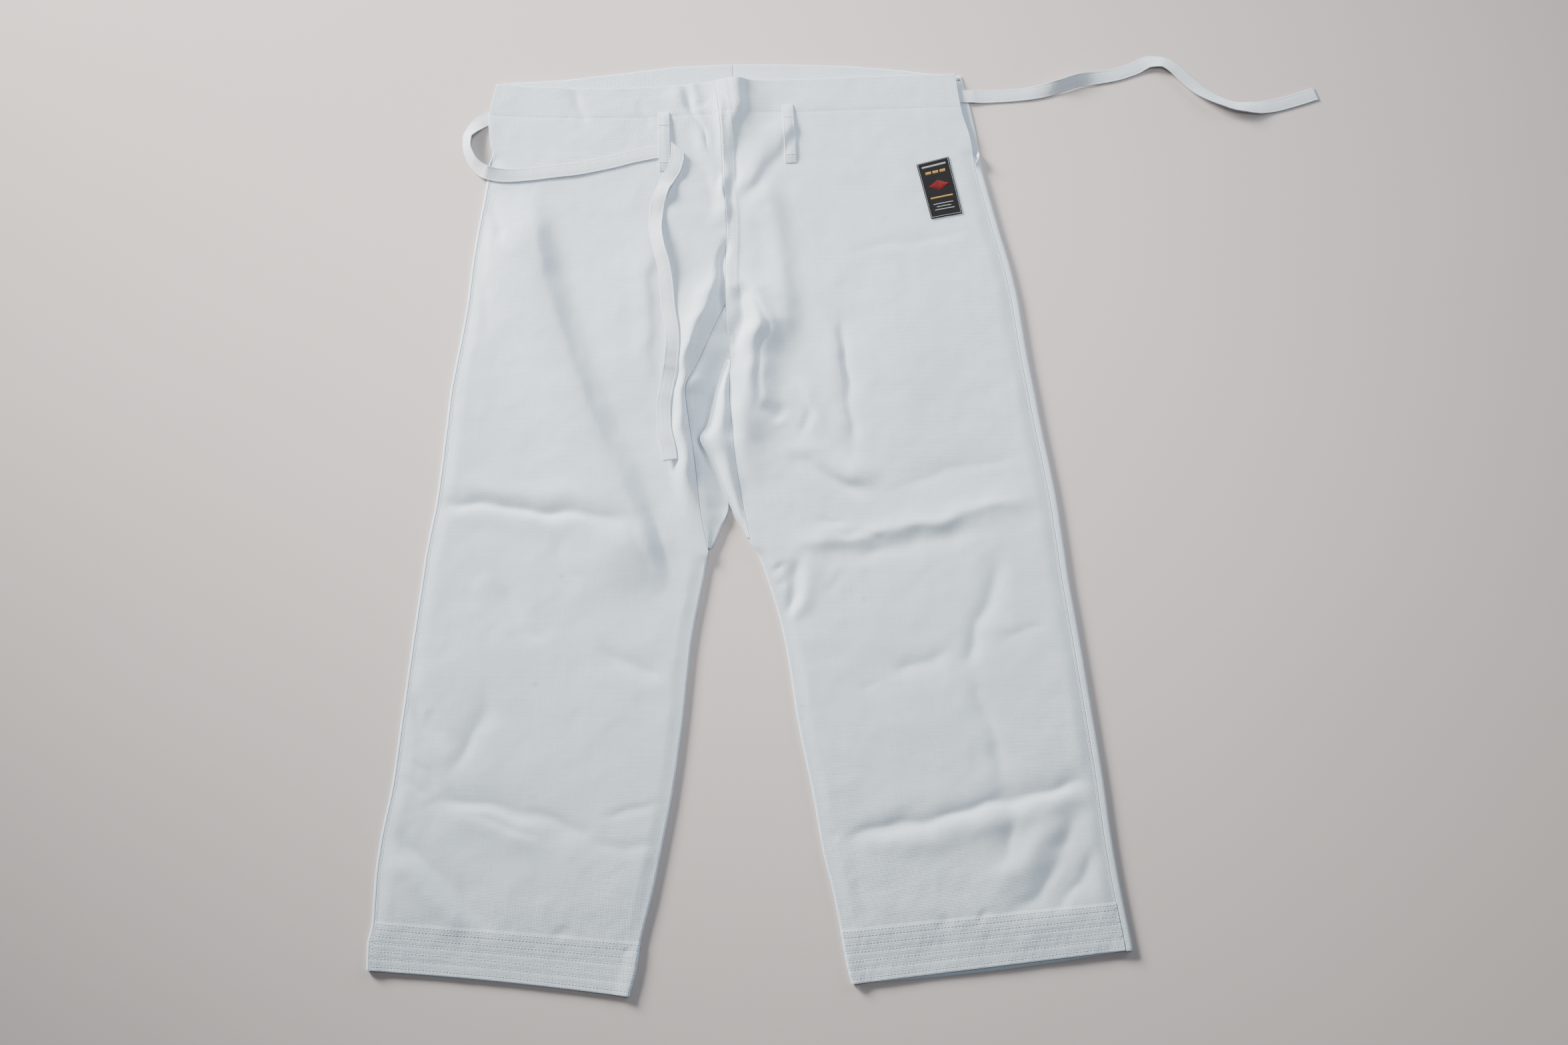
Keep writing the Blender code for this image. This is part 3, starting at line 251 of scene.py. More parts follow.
# %% Fold tables
Fold = namedtuple("Fold", "name left right rise fade path")
FOLDS = (
    Fold("right crotch crest", 11, 13, 8.0, 0.35,
         ((-31, 262), (-46, 208), (-60, 160), (-71, 108), (-67, 40), (-53, -12), (-44, -60))),
    Fold("hollow beside the crest", 6, 7, -2.6, 0.3,
         ((-70, 175), (-80, 131), (-86, 95), (-82, 49), (-74, 15), (-66, -20))),
    Fold("left crotch mound", 16, 9, 9.0, 0.35,
         ((-16, 250), (1, 212), (8, 182), (4, 145), (-4, 110), (-6, 60), (2, 10))),
    Fold("pocket under the mound", 5, 5, -5.0, 0.25, ((-12, 222), (-9, 195), (-14, 168), (-22, 150))),
    Fold("valley below the left hip", 10, 10, -2.6, 0.25,
         ((9, 330), (14, 244), (22, 187), (30, 131), (38, 90))),
    Fold("left hip pull", 7, 7, -2.2, 0.3, ((-14, 300), (8, 340), (32, 385))),
    Fold("centre hump", 16, 14, 9.0, 0.4, ((-20, 520), (-19, 440), (-17, 390), (-17, 350))),
    Fold("beside the centre hump", 8, 8, -1.8, 0.3, ((2, 480), (-6, 411), (-14, 375), (-16, 320))),
    Fold("right waist tuck", 6, 6, -2.2, 0.2, ((-74, 470), (-68, 404), (-54, 367), (-38, 320), (-31, 280))),
    Fold("right waist tuck ridge", 5, 5, 2.4, 0.2, ((-66, 470), (-58, 404), (-43, 367), (-30, 325))),
    Fold("small waist pleat", 5, 5, -1.2, 0.3, ((-188, 460), (-181, 415), (-166, 392))),
    Fold("right hip dimple", 8, 8, -1.6, 0.35, ((-275, 335), (-258, 287), (-246, 248))),
    Fold("right side crease", 8, 8, -1.0, 0.3, ((-272, 320), (-268, 244), (-262, 150))),
    Fold("long slope of the right thigh", 22, 22, -2.2, 0.3,
         ((-232, 345), (-201, 229), (-173, 145), (-147, 76), (-119, 15), (-97, -32), (-72, -100))),
    Fold("swell of the right thigh", 34, 34, 2.6, 0.4, ((-135, 300), (-125, 180), (-112, 60))),
    Fold("right knee crease", 7, 8, -1.9, 0.15,
         ((-318, 2), (-278, -3), (-213, -10), (-140, -18), (-100, -24))),
    Fold("right knee roll", 9, 9, 1.6, 0.3, ((-300, 12), (-213, 5), (-130, -3))),
    Fold("below the right knee", 8, 8, -1.2, 0.35, ((-254, -68), (-229, -104), (-212, -126), (-180, -138))),
    Fold("right inner shin", 8, 8, -1.5, 0.3, ((-152, -143), (-112, -159), (-80, -178))),
    Fold("right shin", 9, 9, -1.4, 0.3, ((-240, -172), (-257, -219), (-285, -275))),
    Fold("right outer shin", 7, 7, -1.4, 0.3, ((-327, -170), (-316, -206), (-284, -244))),
    Fold("right ankle crease", 9, 9, -1.5, 0.3, ((-312, -283), (-241, -294), (-172, -312), (-128, -324))),
    Fold("right ankle roll", 10, 10, 1.6, 0.3, ((-300, -300), (-235, -312), (-180, -330))),
    Fold("right hem slant", 8, 8, -1.7, 0.25, ((-338, -300), (-314, -330), (-275, -367), (-232, -416))),
    Fold("right hem slant ridge", 9, 9, 2.2, 0.25, ((-342, -330), (-306, -365), (-255, -412))),
    Fold("left thigh crease", 6, 9, -2.0, 0.25, ((89, 205), (92, 145), (96, 90), (102, 30))),
    Fold("left thigh swell", 30, 30, 2.4, 0.4, ((130, 260), (150, 150), (165, 50))),
    Fold("left inner thigh", 7, 7, -2.0, 0.3, ((33, 53), (61, 39), (87, 25), (120, 0))),
    Fold("left inner thigh dimple", 6, 6, -1.6, 0.35, ((2, 98), (25, 90), (36, 102))),
    Fold("above the left knee", 14, 14, -1.2, 0.3, ((110, -8), (166, 22), (205, 32), (284, 50))),
    Fold("left knee ridge", 8, 8, 2.2, 0.2,
         ((25, -62), (54, -42), (106, -35), (178, -22), (224, -8), (290, 8))),
    Fold("left knee hollow", 8, 8, -1.6, 0.25, ((50, -60), (106, -52), (178, -38), (235, -25))),
    Fold("left inner knee", 6, 6, -1.4, 0.3, ((46, -55), (44, -84), (30, -122))),
    Fold("left shin crease", 8, 8, -1.7, 0.25, ((243, -40), (235, -84), (217, -130), (200, -176))),
    Fold("left long crease", 9, 7, -1.2, 0.2,
         ((208, -165), (228, -215), (242, -290), (244, -330), (226, -360))),
    Fold("left shin dent", 8, 8, -1.3, 0.3, ((122, -174), (156, -162), (200, -143))),
    Fold("left ankle crease", 7, 7, -2.0, 0.15,
         ((82, -328), (109, -316), (172, -305), (235, -289), (335, -264))),
    Fold("left ankle roll", 9, 9, 1.8, 0.3, ((110, -334), (180, -322), (240, -306), (320, -285))),
    Fold("left hem slant", 9, 9, -1.7, 0.25, ((318, -280), (289, -342), (262, -378), (222, -400))),
    Fold("left hem slant ridge", 10, 10, 2.0, 0.3, ((296, -290), (264, -340), (215, -376))),
    Fold("left hem corner", 8, 8, -1.4, 0.3, ((332, -320), (305, -362), (268, -394))),
)
CREASES = (
    Fold("core of the thigh slope", 4, 6, -1.2, 0.3,
         ((-224, 316), (-201, 229), (-173, 145), (-147, 76),
          (-119, 15), (-97, -32), (-78, -78), (-62, -130))),
    Fold("hip dimple core", 3, 4, -1.8, 0.35, ((-270, 323), (-258, 287), (-250, 258))),
    Fold("line down the right side", 3, 4, -1.2, 0.3, ((-277, 316), (-270, 244), (-264, 166))),
    Fold("knee crease core", 2.6, 4.5, -1.1, 0.15,
         ((-310, -2), (-278, -3), (-213, -10), (-148, -17), (-115, -22))),
    Fold("tick above the knee", 3, 3, -0.7, 0.3, ((-309, 20), (-298, 5), (-292, -3))),
    Fold("below the knee, inner", 3.5, 3.5, -0.9, 0.3, ((-193, -32), (-179, -65), (-165, -91))),
    Fold("below the knee core", 3, 4, -0.8, 0.3, ((-250, -74), (-229, -104), (-215, -126), (-190, -136))),
    Fold("outer shin tick", 3.5, 3.5, -0.8, 0.35, ((-281, -88), (-264, -110))),
    Fold("inner shin core", 3, 4, -0.8, 0.3, ((-144, -146), (-112, -159), (-96, -171), (-80, -178))),
    Fold("outer shin core", 3, 3.5, -0.8, 0.3,
         ((-325, -175), (-318, -200), (-307, -219), (-300, -209), (-289, -238))),
    Fold("shin core", 3.5, 3.5, -0.7, 0.3, ((-245, -187), (-257, -219), (-280, -266))),
    Fold("outer ankle tick", 3, 3, -0.8, 0.3, ((-330, -266), (-314, -278), (-298, -284))),
    Fold("right ankle core", 3, 4, -1.0, 0.2,
         ((-298, -287), (-241, -294), (-203, -300), (-172, -312), (-140, -321))),
    Fold("inner ankle, upper", 3, 3.5, -0.9, 0.3, ((-141, -303), (-103, -297), (-78, -287))),
    Fold("inner ankle, lower", 3.5, 4, -0.9, 0.3, ((-153, -324), (-115, -333), (-84, -330))),
    Fold("right hem slant core", 3, 3.5, -0.9, 0.25,
         ((-334, -306), (-314, -330), (-288, -355), (-262, -379), (-238, -409))),
    Fold("right hem dent", 3.5, 3.5, -0.8, 0.35, ((-181, -415), (-157, -406))),
    Fold("right hem inner dent", 3, 3, -0.7, 0.35, ((-98, -418), (-104, -423), (-113, -428))),
    Fold("hip pull core", 3, 3, -0.7, 0.3, ((-10, 312), (11, 345), (29, 378))),
    Fold("left thigh core", 2.6, 4, -0.9, 0.25, ((90, 187), (92, 145), (94, 103), (97, 76), (100, 42))),
    Fold("thigh dimple core", 3, 3, -0.4, 0.3, ((8, 97), (25, 90), (31, 100))),
    Fold("tick on the inner thigh", 3, 3, -0.8, 0.3, ((48, 66), (58, 76), (61, 90))),
    Fold("inner thigh core", 3, 3.5, -0.9, 0.3, ((41, 49), (61, 39), (87, 25), (113, 5))),
    Fold("above the knee core", 3.5, 4, -0.6, 0.3, ((119, -2), (166, 22), (205, 32), (278, 49))),
    Fold("knee ridge core", 3.5, 3.5, 0.9, 0.2,
         ((35, -51), (54, -42), (80, -45), (106, -35), (145, -28), (178, -22), (224, -8), (276, 5))),
    Fold("inner knee core", 2.4, 4, -2.0, 0.3, ((46, -58), (44, -84), (33, -117))),
    Fold("inner knee tick", 2.2, 2.6, -1.5, 0.35, ((12, -80), (27, -66), (38, -60))),
    Fold("inner knee lower tick", 2.2, 2.6, -1.2, 0.35, ((16, -91), (28, -82), (38, -80))),
    Fold("left shin core", 3, 4, -0.9, 0.25,
         ((242, -51), (235, -84), (224, -110), (215, -136), (203, -169))),
    Fold("left long core", 3, 3, -0.6, 0.25, ((210, -168), (222, -200), (233, -238), (240, -275))),
    Fold("left shin dent core", 3, 3.5, -0.8, 0.3, ((130, -171), (156, -162), (194, -146))),
    Fold("below the shin dent", 3, 3, -0.7, 0.35, ((104, -187), (130, -175))),
    Fold("under the knee ridge", 3.5, 3.5, -0.7, 0.35, ((106, -65), (128, -97))),
    Fold("under the knee, inner", 3.5, 3.5, -0.7, 0.35, ((90, -65), (73, -94))),
    Fold("outer shin crease", 3, 3.5, -0.8, 0.3, ((239, -136), (265, -126), (285, -123))),
    Fold("left ankle core", 2.6, 3.5, -1.1, 0.15,
         ((87, -325), (109, -316), (172, -305), (235, -289), (298, -275), (327, -266))),
    Fold("inner ankle tick", 2.6, 2.6, -0.8, 0.35, ((66, -329), (75, -333))),
    Fold("inner ankle, upper tick", 2.6, 2.6, -0.8, 0.35, ((75, -315), (86, -321))),
    Fold("left calf crease", 3, 3.5, -0.7, 0.3, ((244, -294), (245, -318), (240, -342), (230, -355))),
    Fold("left hem slant core", 3.5, 3.5, -0.8, 0.25,
         ((310, -294), (289, -342), (270, -373), (232, -395))),
    Fold("left hem corner core", 3, 3, -0.8, 0.3, ((324, -330), (307, -361), (291, -385), (275, -391))),
    Fold("left inner hem", 3, 3, -0.7, 0.3, ((97, -355), (103, -373), (115, -397))),
    Fold("left hem dent", 3, 3, -0.7, 0.35, ((170, -406), (189, -388))),
    Fold("left hem second dent", 2.6, 2.6, -0.7, 0.35, ((213, -403), (223, -385))),
    Fold("waist pleat core", 2.6, 2.6, -1.4, 0.25, ((-184, 435), (-179, 415), (-168, 397))),
    Fold("waist tuck core", 2.6, 3, -1.0, 0.25,
         ((-69, 434), (-62, 404), (-48, 367), (-33, 323), (-28, 287))),
    Fold("second waist tuck", 2.6, 2.6, -0.8, 0.3, ((-62, 415), (-51, 419), (-45, 430))),
    Fold("beside the centre core", 3, 3, -0.8, 0.3, ((-8, 445), (-12, 411), (-20, 382), (-21, 338))),
    Fold("right waist corner", 3.5, 3.5, -0.7, 0.35, ((-268, 397), (-240, 374), (-225, 352))),
    Fold("under the waist casing", 3, 3, -1.2, 0.3, ((-121, 426), (-113, 404), (-103, 389))),
    Fold("across the left hip", 3.5, 3.5, -0.6, 0.35, ((82, 251), (136, 265), (204, 274), (231, 276))),
    Fold("waist tuck lip", 2.5, 7, 4.2, 0.15,
         ((-78, 445), (-75, 428), (-59, 394), (-45, 364), (-33, 335), (-27, 310), (-26, 275))),
    Fold("groove of the waist tuck", 2.5, 3, -2.6, 0.15,
         ((-68, 445), (-59, 402), (-49, 381), (-39, 352), (-30, 320))),
    Fold("ridge beside the centre seam", 2.5, 3.5, 2.2, 0.2,
         ((-40, 440), (-32, 402), (-29, 364), (-27, 310))),
    Fold("crown of the centre hump", 4, 7, 3.0, 0.25, ((-12, 470), (-12, 420), (-18, 380), (-22, 330))),
    Fold("flank of the centre hump", 3, 3, -1.8, 0.2,
         ((-4, 455), (-6, 437), (-6, 420), (-12, 402), (-16, 377), (-18, 347), (-21, 293))),
    Fold("pull up to the left loop", 5, 15, 4.4, 0.25,
         ((42, 405), (34, 390), (18, 362), (0, 338), (-14, 310))),
    Fold("swell beside the hip valley", 10.5, 18, 5.5, 0.25,
         ((-2, 365), (8, 335), (16, 306), (25, 268), (29, 232), (33, 190), (34, 145))),
    Fold("hip valley floor", 12, 8, -1.4, 0.3, ((24, 315), (35, 268), (40, 232), (44, 183), (45, 125))),
    Fold("lip of the mound", 9, 3.5, 2.6, 0.4,
         ((-8, 240), (2, 215), (4, 190), (-2, 165), (-12, 140), (-20, 112))),
    Fold("line on the mound", 2.5, 2.5, -2.6, 0.2,
         ((-15, 232), (3, 207), (14, 179), (8, 151), (5, 119), (5, 80))),
    Fold("edge of the crest", 3.5, 6, 4.6, 0.2,
         ((-26, 262), (-32, 236), (-47, 203), (-60, 167), (-67, 135),
          (-70, 107), (-67, 64), (-60, 18), (-50, -20))),
    Fold("hollow under the tape", 3.5, 4, -2.6, 0.2,
         ((-72, 165), (-75, 119), (-76, 88), (-74, 57), (-72, 30))),
    Fold("fork on the mound", 2.2, 2.2, -0.7, 0.3, ((8, 94), (26, 84), (35, 94))),
    Fold("fold below the fork", 3, 3, 0.4, 0.3, ((8, 84), (26, 76), (40, 86))),
    Fold("hook on the inner thigh", 2.2, 2.2, -0.8, 0.25, ((42, 115), (58, 90), (52, 61))),
    Fold("swell beside the hook", 6, 4, 1.0, 0.3, ((46, 122), (66, 90), (58, 56))),
    Fold("swell above the inner thigh fold", 10, 4.5, 3.6, 0.3,
         ((30, 60), (66, 38), (95, 26), (130, 12))),
    Fold("swell beside the thigh crease", 1.8, 10, 2.6, 0.25, ((85, 195), (88, 135), (94, 96), (98, 45))),
    Fold("swell below the knee crease", 3, 9, 2.0, 0.2,
         ((-312, -9), (-278, -10), (-213, -17), (-150, -24))),
    Fold("swell below the left ankle crease", 3, 8, 1.0, 0.2,
         ((90, -335), (172, -313), (235, -297), (298, -283), (330, -274))),
    Fold("swell below the right ankle crease", 3, 8, 0.6, 0.2,
         ((-300, -294), (-241, -301), (-172, -319))),
    Fold("hollow above the gusset", 3, 3, -6.0, 0.25,
         ((-27, 275), (-28, 248), (-31, 222), (-31, 198), (-34, 180))),
    Fold("swell left of the thigh slope", 10.5, 40, 11.0, 0.15,
         ((-232, 330), (-210, 229), (-182, 145), (-155, 76), (-128, 20), (-106, -32), (-84, -95))),
    Fold("ridge right of the tape", 4, 9, 2.0, 0.3, ((-100, 300), (-106, 230), (-104, 160), (-100, 100))),
    Fold("pinch at the inner hem corner", 2, 2.6, -2.0, 0.2,
         ((-92, -408), (-100, -418), (-107, -425), (-118, -429))),
    Fold("right ankle, second line", 2.2, 2.6, -1.0, 0.25,
         ((-262, -300), (-232, -309), (-205, -318), (-190, -330))),
    Fold("right shin ticks", 2.2, 2.4, -0.9, 0.3, ((-316, -250), (-300, -262), (-292, -282))),
    Fold("swell beside the inner knee", 7, 3, 2.0, 0.3, ((56, -50), (54, -84), (42, -122))),
    Fold("first line above the inner knee", 2.4, 2.6, -1.2, 0.3,
         ((-105, 5), (-96, -22), (-84, -50), (-73, -85))),
    Fold("second line above the inner knee", 2.2, 2.4, -0.9, 0.3, ((-118, -20), (-104, -52), (-92, -80))),
    Fold("rumple on the left knee", 2.6, 3, -1.0, 0.3,
         ((72, -28), (92, -36), (104, -30), (122, -38), (140, -30))),
    Fold("upper rumple on the left knee", 2.4, 2.8, -0.8, 0.3, ((60, -20), (78, -26), (96, -18))),
)
print("folds:", len(FOLDS), "finer creases:", len(CREASES))

# %% Height of the front cloth
LEAST_CLEARANCE = 0.4
HEIGHT_SOFTNESS = 0.5
RIPPLE_HEIGHT = 0.15
BROAD_FOLD = 10.0    # a fold wider than this on both sides is smooth: it doesn't wander
UNEVENNESS = 0.17
PUFF = 1.6    # air holds the front this much further off the back than its edges are
HEM_SAG = 2.0    # and the weight of the doubled hems lays it down again
HEM_SAG_Y = -450.0
HEM_SAG_RUN = 70.0
CASING_STEP_LEAD = 12.0
CASING_STEP_RUN = 10.0
GOLDEN_ANGLE = math.radians(137.5)
RIPPLE_LENGTHS = (150.0, 118.0, 92.0, 73.0, 58.0, 46.0, 37.0, 29.0, 23.0, 18.0)


def fold_height(fold, x, y):
    """A bell curve along the path, its width chosen by the side of the path, eased at its ends."""
    path = np.array(fold.path, dtype=float)
    runs = np.diff(path, axis=0)
    lengths = np.hypot(runs[:, 0], runs[:, 1])
    total = lengths.sum()
    reach = 4 * max(fold.left, fold.right)
    low = path.min(axis=0) - reach
    high = path.max(axis=0) + reach
    close = (x > low[0]) & (x < high[0]) & (y > low[1]) & (y < high[1])
    px = x[close]
    py = y[close]
    nearest = np.full(px.shape, np.inf)
    side = np.zeros(px.shape)
    travel = np.zeros(px.shape)
    before = 0.0
    for start, run, length in zip(path[:-1], runs, lengths):
        share = np.clip(((px - start[0]) * run[0] + (py - start[1]) * run[1]) / length ** 2, 0.0, 1.0)
        away_x = px - start[0] - share * run[0]
        away_y = py - start[1] - share * run[1]
        distance = np.hypot(away_x, away_y)
        closer = distance < nearest
        nearest = np.where(closer, distance, nearest)
        side = np.where(closer, run[0] * away_y - run[1] * away_x, side)
        travel = np.where(closer, before + share * length, travel)
        before += length
    width = np.where(side > 0, fold.left, fold.right)
    fade = fold.fade * total
    ends = smoothstep(travel / fade) * smoothstep((total - travel) / fade)
    height = np.zeros(x.shape)
    height[close] = bell(nearest, fold.rise * ends, width)
    return height


def ripple(x, y):
    """A sum of sine waves of ten lengths, each turned by the golden angle, so that no stretch is flat."""
    total = np.zeros(x.shape)
    for index, length in enumerate(RIPPLE_LENGTHS):
        turn = index * GOLDEN_ANGLE
        along = x * math.cos(turn) + y * math.sin(turn)
        beside = y * math.cos(turn) - x * math.sin(turn)
        bend = 0.35 * length * np.sin(beside * 2 * math.pi / (2.3 * length) + 1.7 * index)
        size = RIPPLE_HEIGHT * (length / RIPPLE_LENGTHS[0]) ** 0.6
        total += size * np.sin((along + bend) * 2 * math.pi / length + 2.1 * index)
    return total


def wander(x, y):
    """Sines of four lengths shift a place by up to 2.6 mm, so that no crease runs dead straight."""
    across = 1.5 * np.sin(y / 11 + 1.3 * np.sin(x / 17)) + 1.1 * np.sin(y / 6.1 + x / 23)
    along = 1.5 * np.sin(x / 12.5 + 1.1 * np.sin(y / 19)) + 1.0 * np.sin(x / 6.7 + y / 29)
    return x + across, y + along


def front_height(x, y):
    """Level at the height of the edges, plus every fold and crease, softly kept above the back.

    A slow product of sines makes each narrow fold up to a sixth higher or lower as it goes along.
    """
    sag = 1 - smoothstep((y - HEM_SAG_Y) / HEM_SAG_RUN)
    creased_x, creased_y = wander(x, y)
    broad = np.zeros(x.shape)
    relief = np.zeros(x.shape)
    for fold in FOLDS + CREASES:
        if min(fold.left, fold.right) > BROAD_FOLD:
            broad = broad + fold_height(fold, x, y)
        else:
            relief = relief + fold_height(fold, creased_x, creased_y)
    uneven = 1 + UNEVENNESS * np.sin(x / 15 + 0.9 * np.sin(y / 21)) * np.sin(y / 13 + 0.8 * np.sin(x / 25))
    level = EDGE_TOP + PUFF * (1 - sag) - HEM_SAG * sag
    height = level + ripple(x, y) + broad + relief * uneven
    over_casing = (CLOTH + GAP) * smoothstep((y - CASING_BOTTOM_Y + CASING_STEP_LEAD) / CASING_STEP_RUN)
    floor = CLOTH * 1.5 + LEAST_CLEARANCE + over_casing
    return floor + HEIGHT_SOFTNESS * np.logaddexp(0.0, (height - floor) / HEIGHT_SOFTNESS)


probe = front_height(np.array([0.0, -60.0, 150.0]), np.array([200.0, 100.0, -200.0]))
print("cloth height in mm at the crotch folds and on a shin:", probe.round(2))

# %% [markdown]
# ## A shell of cloth
#
# Cloth is a sheet with two sides and a folded or cut edge all round. A grid of points down the
# middle of the cloth is pushed out along its normals on both sides and closed round the rim. The
# thickness tapers to a round nose at the rim, because a turned canvas edge is round, not sawn.

# %% Closed shell round a grid
Cloth = namedtuple("Cloth", "thing upper normal")
NOSE = 0.6
NOSE_STEPS = (0.0, 0.12, 0.32, 0.6)


def nose(distance):
    """Share of the full thickness at distance d from the rim: 0.2 + 0.8 sqrt(1 - (1 - d / NOSE)^2)."""
    share = np.clip(distance / NOSE, 0.0, 1.0)
    return 0.2 + 0.8 * np.sqrt(1 - (1 - share) ** 2)


def nosed_steps(length, first, step):
    """Places from 0 to length: the nose's steps at both ends and even steps between."""
    ends = np.array(NOSE_STEPS)
    return np.concatenate([ends, np.arange(first, length - 1, step), length - ends[::-1]])


def outwards(points, faces):
    """The faces of a closed mesh, turned over if the volume that they span comes out negative."""
    corner = points[faces]
    spread = np.cross(corner[:, 2] - corner[:, 0], corner[:, 3] - corner[:, 1])
    volume = np.einsum("ij,ij->", corner.mean(axis=1) - points.mean(axis=0), spread)
    return faces[:, ::-1] if volume < 0 else faces


def mesh_piece(name, points, faces, material, uv=None):
    """A mesh from arrays of points in millimetres and faces, with its own UV map if one is given."""
    mesh = bpy.data.meshes.new(name)
    mesh.from_pydata((points * MM).tolist(), [], faces.tolist())
    if uv is not None:
        layer = mesh.uv_layers.new(name="cloth")
        corner = np.zeros(len(mesh.loops), dtype=np.int32)
        mesh.loops.foreach_get("vertex_index", corner)
        layer.data.foreach_set("uv", (uv[corner] * MM).ravel())
    mesh.materials.append(material)
    mesh.shade_smooth()
    thing = bpy.data.objects.new(name, mesh)
    bpy.context.collection.objects.link(thing)
    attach(thing, "root")
    return thing


def shell(name, middle, above, below, material, uv, upright=None, normal=None):
    """Upper side = middle + normal * above, lower side = middle - normal * below, and a rim between."""
    rows, columns = middle.shape[:2]
    if normal is None:
        normal = np.cross(np.gradient(middle, axis=0), np.gradient(middle, axis=1))
        normal /= np.linalg.norm(normal, axis=2, keepdims=True)
        if normal[rows // 2, columns // 2, 2] < 0:
            normal = -normal
    if upright is not None:
        normal = normal + (UP - normal) * upright[..., None]
    upper = middle + normal * above[..., None]
    lower = middle - normal * below[..., None]
    points = np.concatenate([upper.reshape(-1, 3), lower.reshape(-1, 3)])
    size = rows * columns
    index = np.arange(size).reshape(rows, columns)
    a, b, c, d = index[:-1, :-1], index[:-1, 1:], index[1:, 1:], index[1:, :-1]
    top = np.stack([a, b, c, d], axis=-1).reshape(-1, 4)
    rim = np.concatenate([index[0, :-1], index[:-1, -1], index[-1, :0:-1], index[:0:-1, 0]])
    there = np.roll(rim, -1)
    side = np.stack([rim, rim + size, there + size, there], axis=-1)
    faces = outwards(points, np.concatenate([top, top[:, ::-1] + size, side]))
    uv = np.concatenate([uv.reshape(-1, 2)] * 2)
    return Cloth(mesh_piece(name, points, faces, material, uv), upper, normal)

# %% [markdown]
# ## Bleached canvas, twill tape, thread and label
#
# The canvas is plain woven from thick cotton yarn, bleached and brightened, so it is a cold white and
# quite matt. Real threads lie about 0.7 mm apart. They are drawn at twice that, because the finer
# weave would be lost in a picture of the whole garment. Uneven yarn gives long faint streaks both
# ways, and handling leaves small dents between the large creases.

# %% Node helper and colours
def linear(hex_colour):
    """An sRGB hex colour as linear red, green, blue and alpha."""
    parts = [int(hex_colour[i:i + 2], 16) / 255 for i in (1, 3, 5)]
    return [part / 12.92 if part <= 0.04045 else ((part + 0.055) / 1.055) ** 2.4 for part in parts] + [1.0]


def add(tree, kind, feeds=None, **settings):
    """One shader node: settings are its own properties, feeds are sockets or values for its inputs."""
    node = tree.nodes.new("ShaderNode" + kind)
    for name, value in settings.items():
        setattr(node, name, value)
    for name, source in (feeds or {}).items():
        if isinstance(source, bpy.types.NodeSocket):
            tree.links.new(source, node.inputs[name])
        else:
            node.inputs[name].default_value = source
    return node


def new_material(name, roughness, specular, sheen):
    """An empty material with its tree and its shader, which has the even values set on its sockets."""
    material = bpy.data.materials.new(name)
    material.use_nodes = True
    tree = material.node_tree
    shader = tree.nodes["Principled BSDF"]
    shader.inputs["Roughness"].default_value = roughness
    shader.inputs["Specular IOR Level"].default_value = specular
    shader.inputs["Sheen Weight"].default_value = sheen
    shader.inputs["Sheen Roughness"].default_value = 0.6
    return material, tree, shader


WAVE_PERIOD = 0.31416    # a Wave Texture of scale 1 repeats after this many units


def weave(tree, spacing_mm, streak_mm, dent_mm):
    """Height of woven yarn on the UV map in metres: crossing waves, plus streaks and dents of noise."""
    place = add(tree, "UVMap", uv_map="cloth").outputs["UV"]
    scale = WAVE_PERIOD / (spacing_mm * MM)
    warp = add(tree, "TexWave", {"Vector": place, "Scale": scale, "Distortion": 0.0}, bands_direction="X")
    weft = add(tree, "TexWave", {"Vector": place, "Scale": scale, "Distortion": 0.0}, bands_direction="Y")
    threads = add(tree, "Math", {0: warp.outputs["Fac"], 1: weft.outputs["Fac"]}, operation="MULTIPLY")
    along = add(tree, "Mapping", {"Vector": place, "Scale": (0.06, 1.0, 1.0)})
    down = add(tree, "Mapping", {"Vector": place, "Scale": (1.0, 0.06, 1.0)})
    fine = {"Scale": 1 / (streak_mm * MM), "Detail": 3.0}
    across = add(tree, "TexNoise", {"Vector": along.outputs["Vector"], **fine})
    upward = add(tree, "TexNoise", {"Vector": down.outputs["Vector"], **fine})
    streaks = add(tree, "Math", {0: across.outputs["Fac"], 1: upward.outputs["Fac"]}, operation="ADD")
    dents = add(tree, "TexNoise", {"Vector": place, "Scale": 1 / (dent_mm * MM), "Detail": 4.0,
                                   "Roughness": 0.55})
    return threads.outputs["Value"], streaks.outputs["Value"], dents.outputs["Fac"]


# %% Canvas and tape
SPECKS = ((109.0, -98.0, 2.2), (50.0, -200.0, 1.8), (-204.0, -179.0, 2.0), (-182.0, -76.0, 3.0))


def specked(tree, tint):
    """Faint yellow-brown specks: round spots of x, y and radius in mm on the fronts, soft at the rim."""
    place = add(tree, "TexCoord").outputs["Object"]
    wobble = add(tree, "TexNoise", {"Vector": place, "Scale": 1 / (3.0 * MM), "Detail": 2.0}).outputs["Fac"]
    for x, y, radius in SPECKS:
        away = add(tree, "VectorMath", {0: place, 1: (x * MM, y * MM, 6 * MM)}, operation="DISTANCE")
        uneven = add(tree, "Math", {0: away.outputs["Value"], 1: wobble}, operation="MULTIPLY")
        spot = add(tree, "MapRange", {"Value": uneven.outputs["Value"], "From Min": 0.2 * radius * MM,
                                      "From Max": 0.7 * radius * MM, "To Min": 0.4, "To Max": 0.0})
        tint = add(tree, "Mix", {"Factor": spot.outputs["Result"], 6: tint, 7: linear("#C9B183")},
                   data_type="RGBA").outputs[2]
    return tint


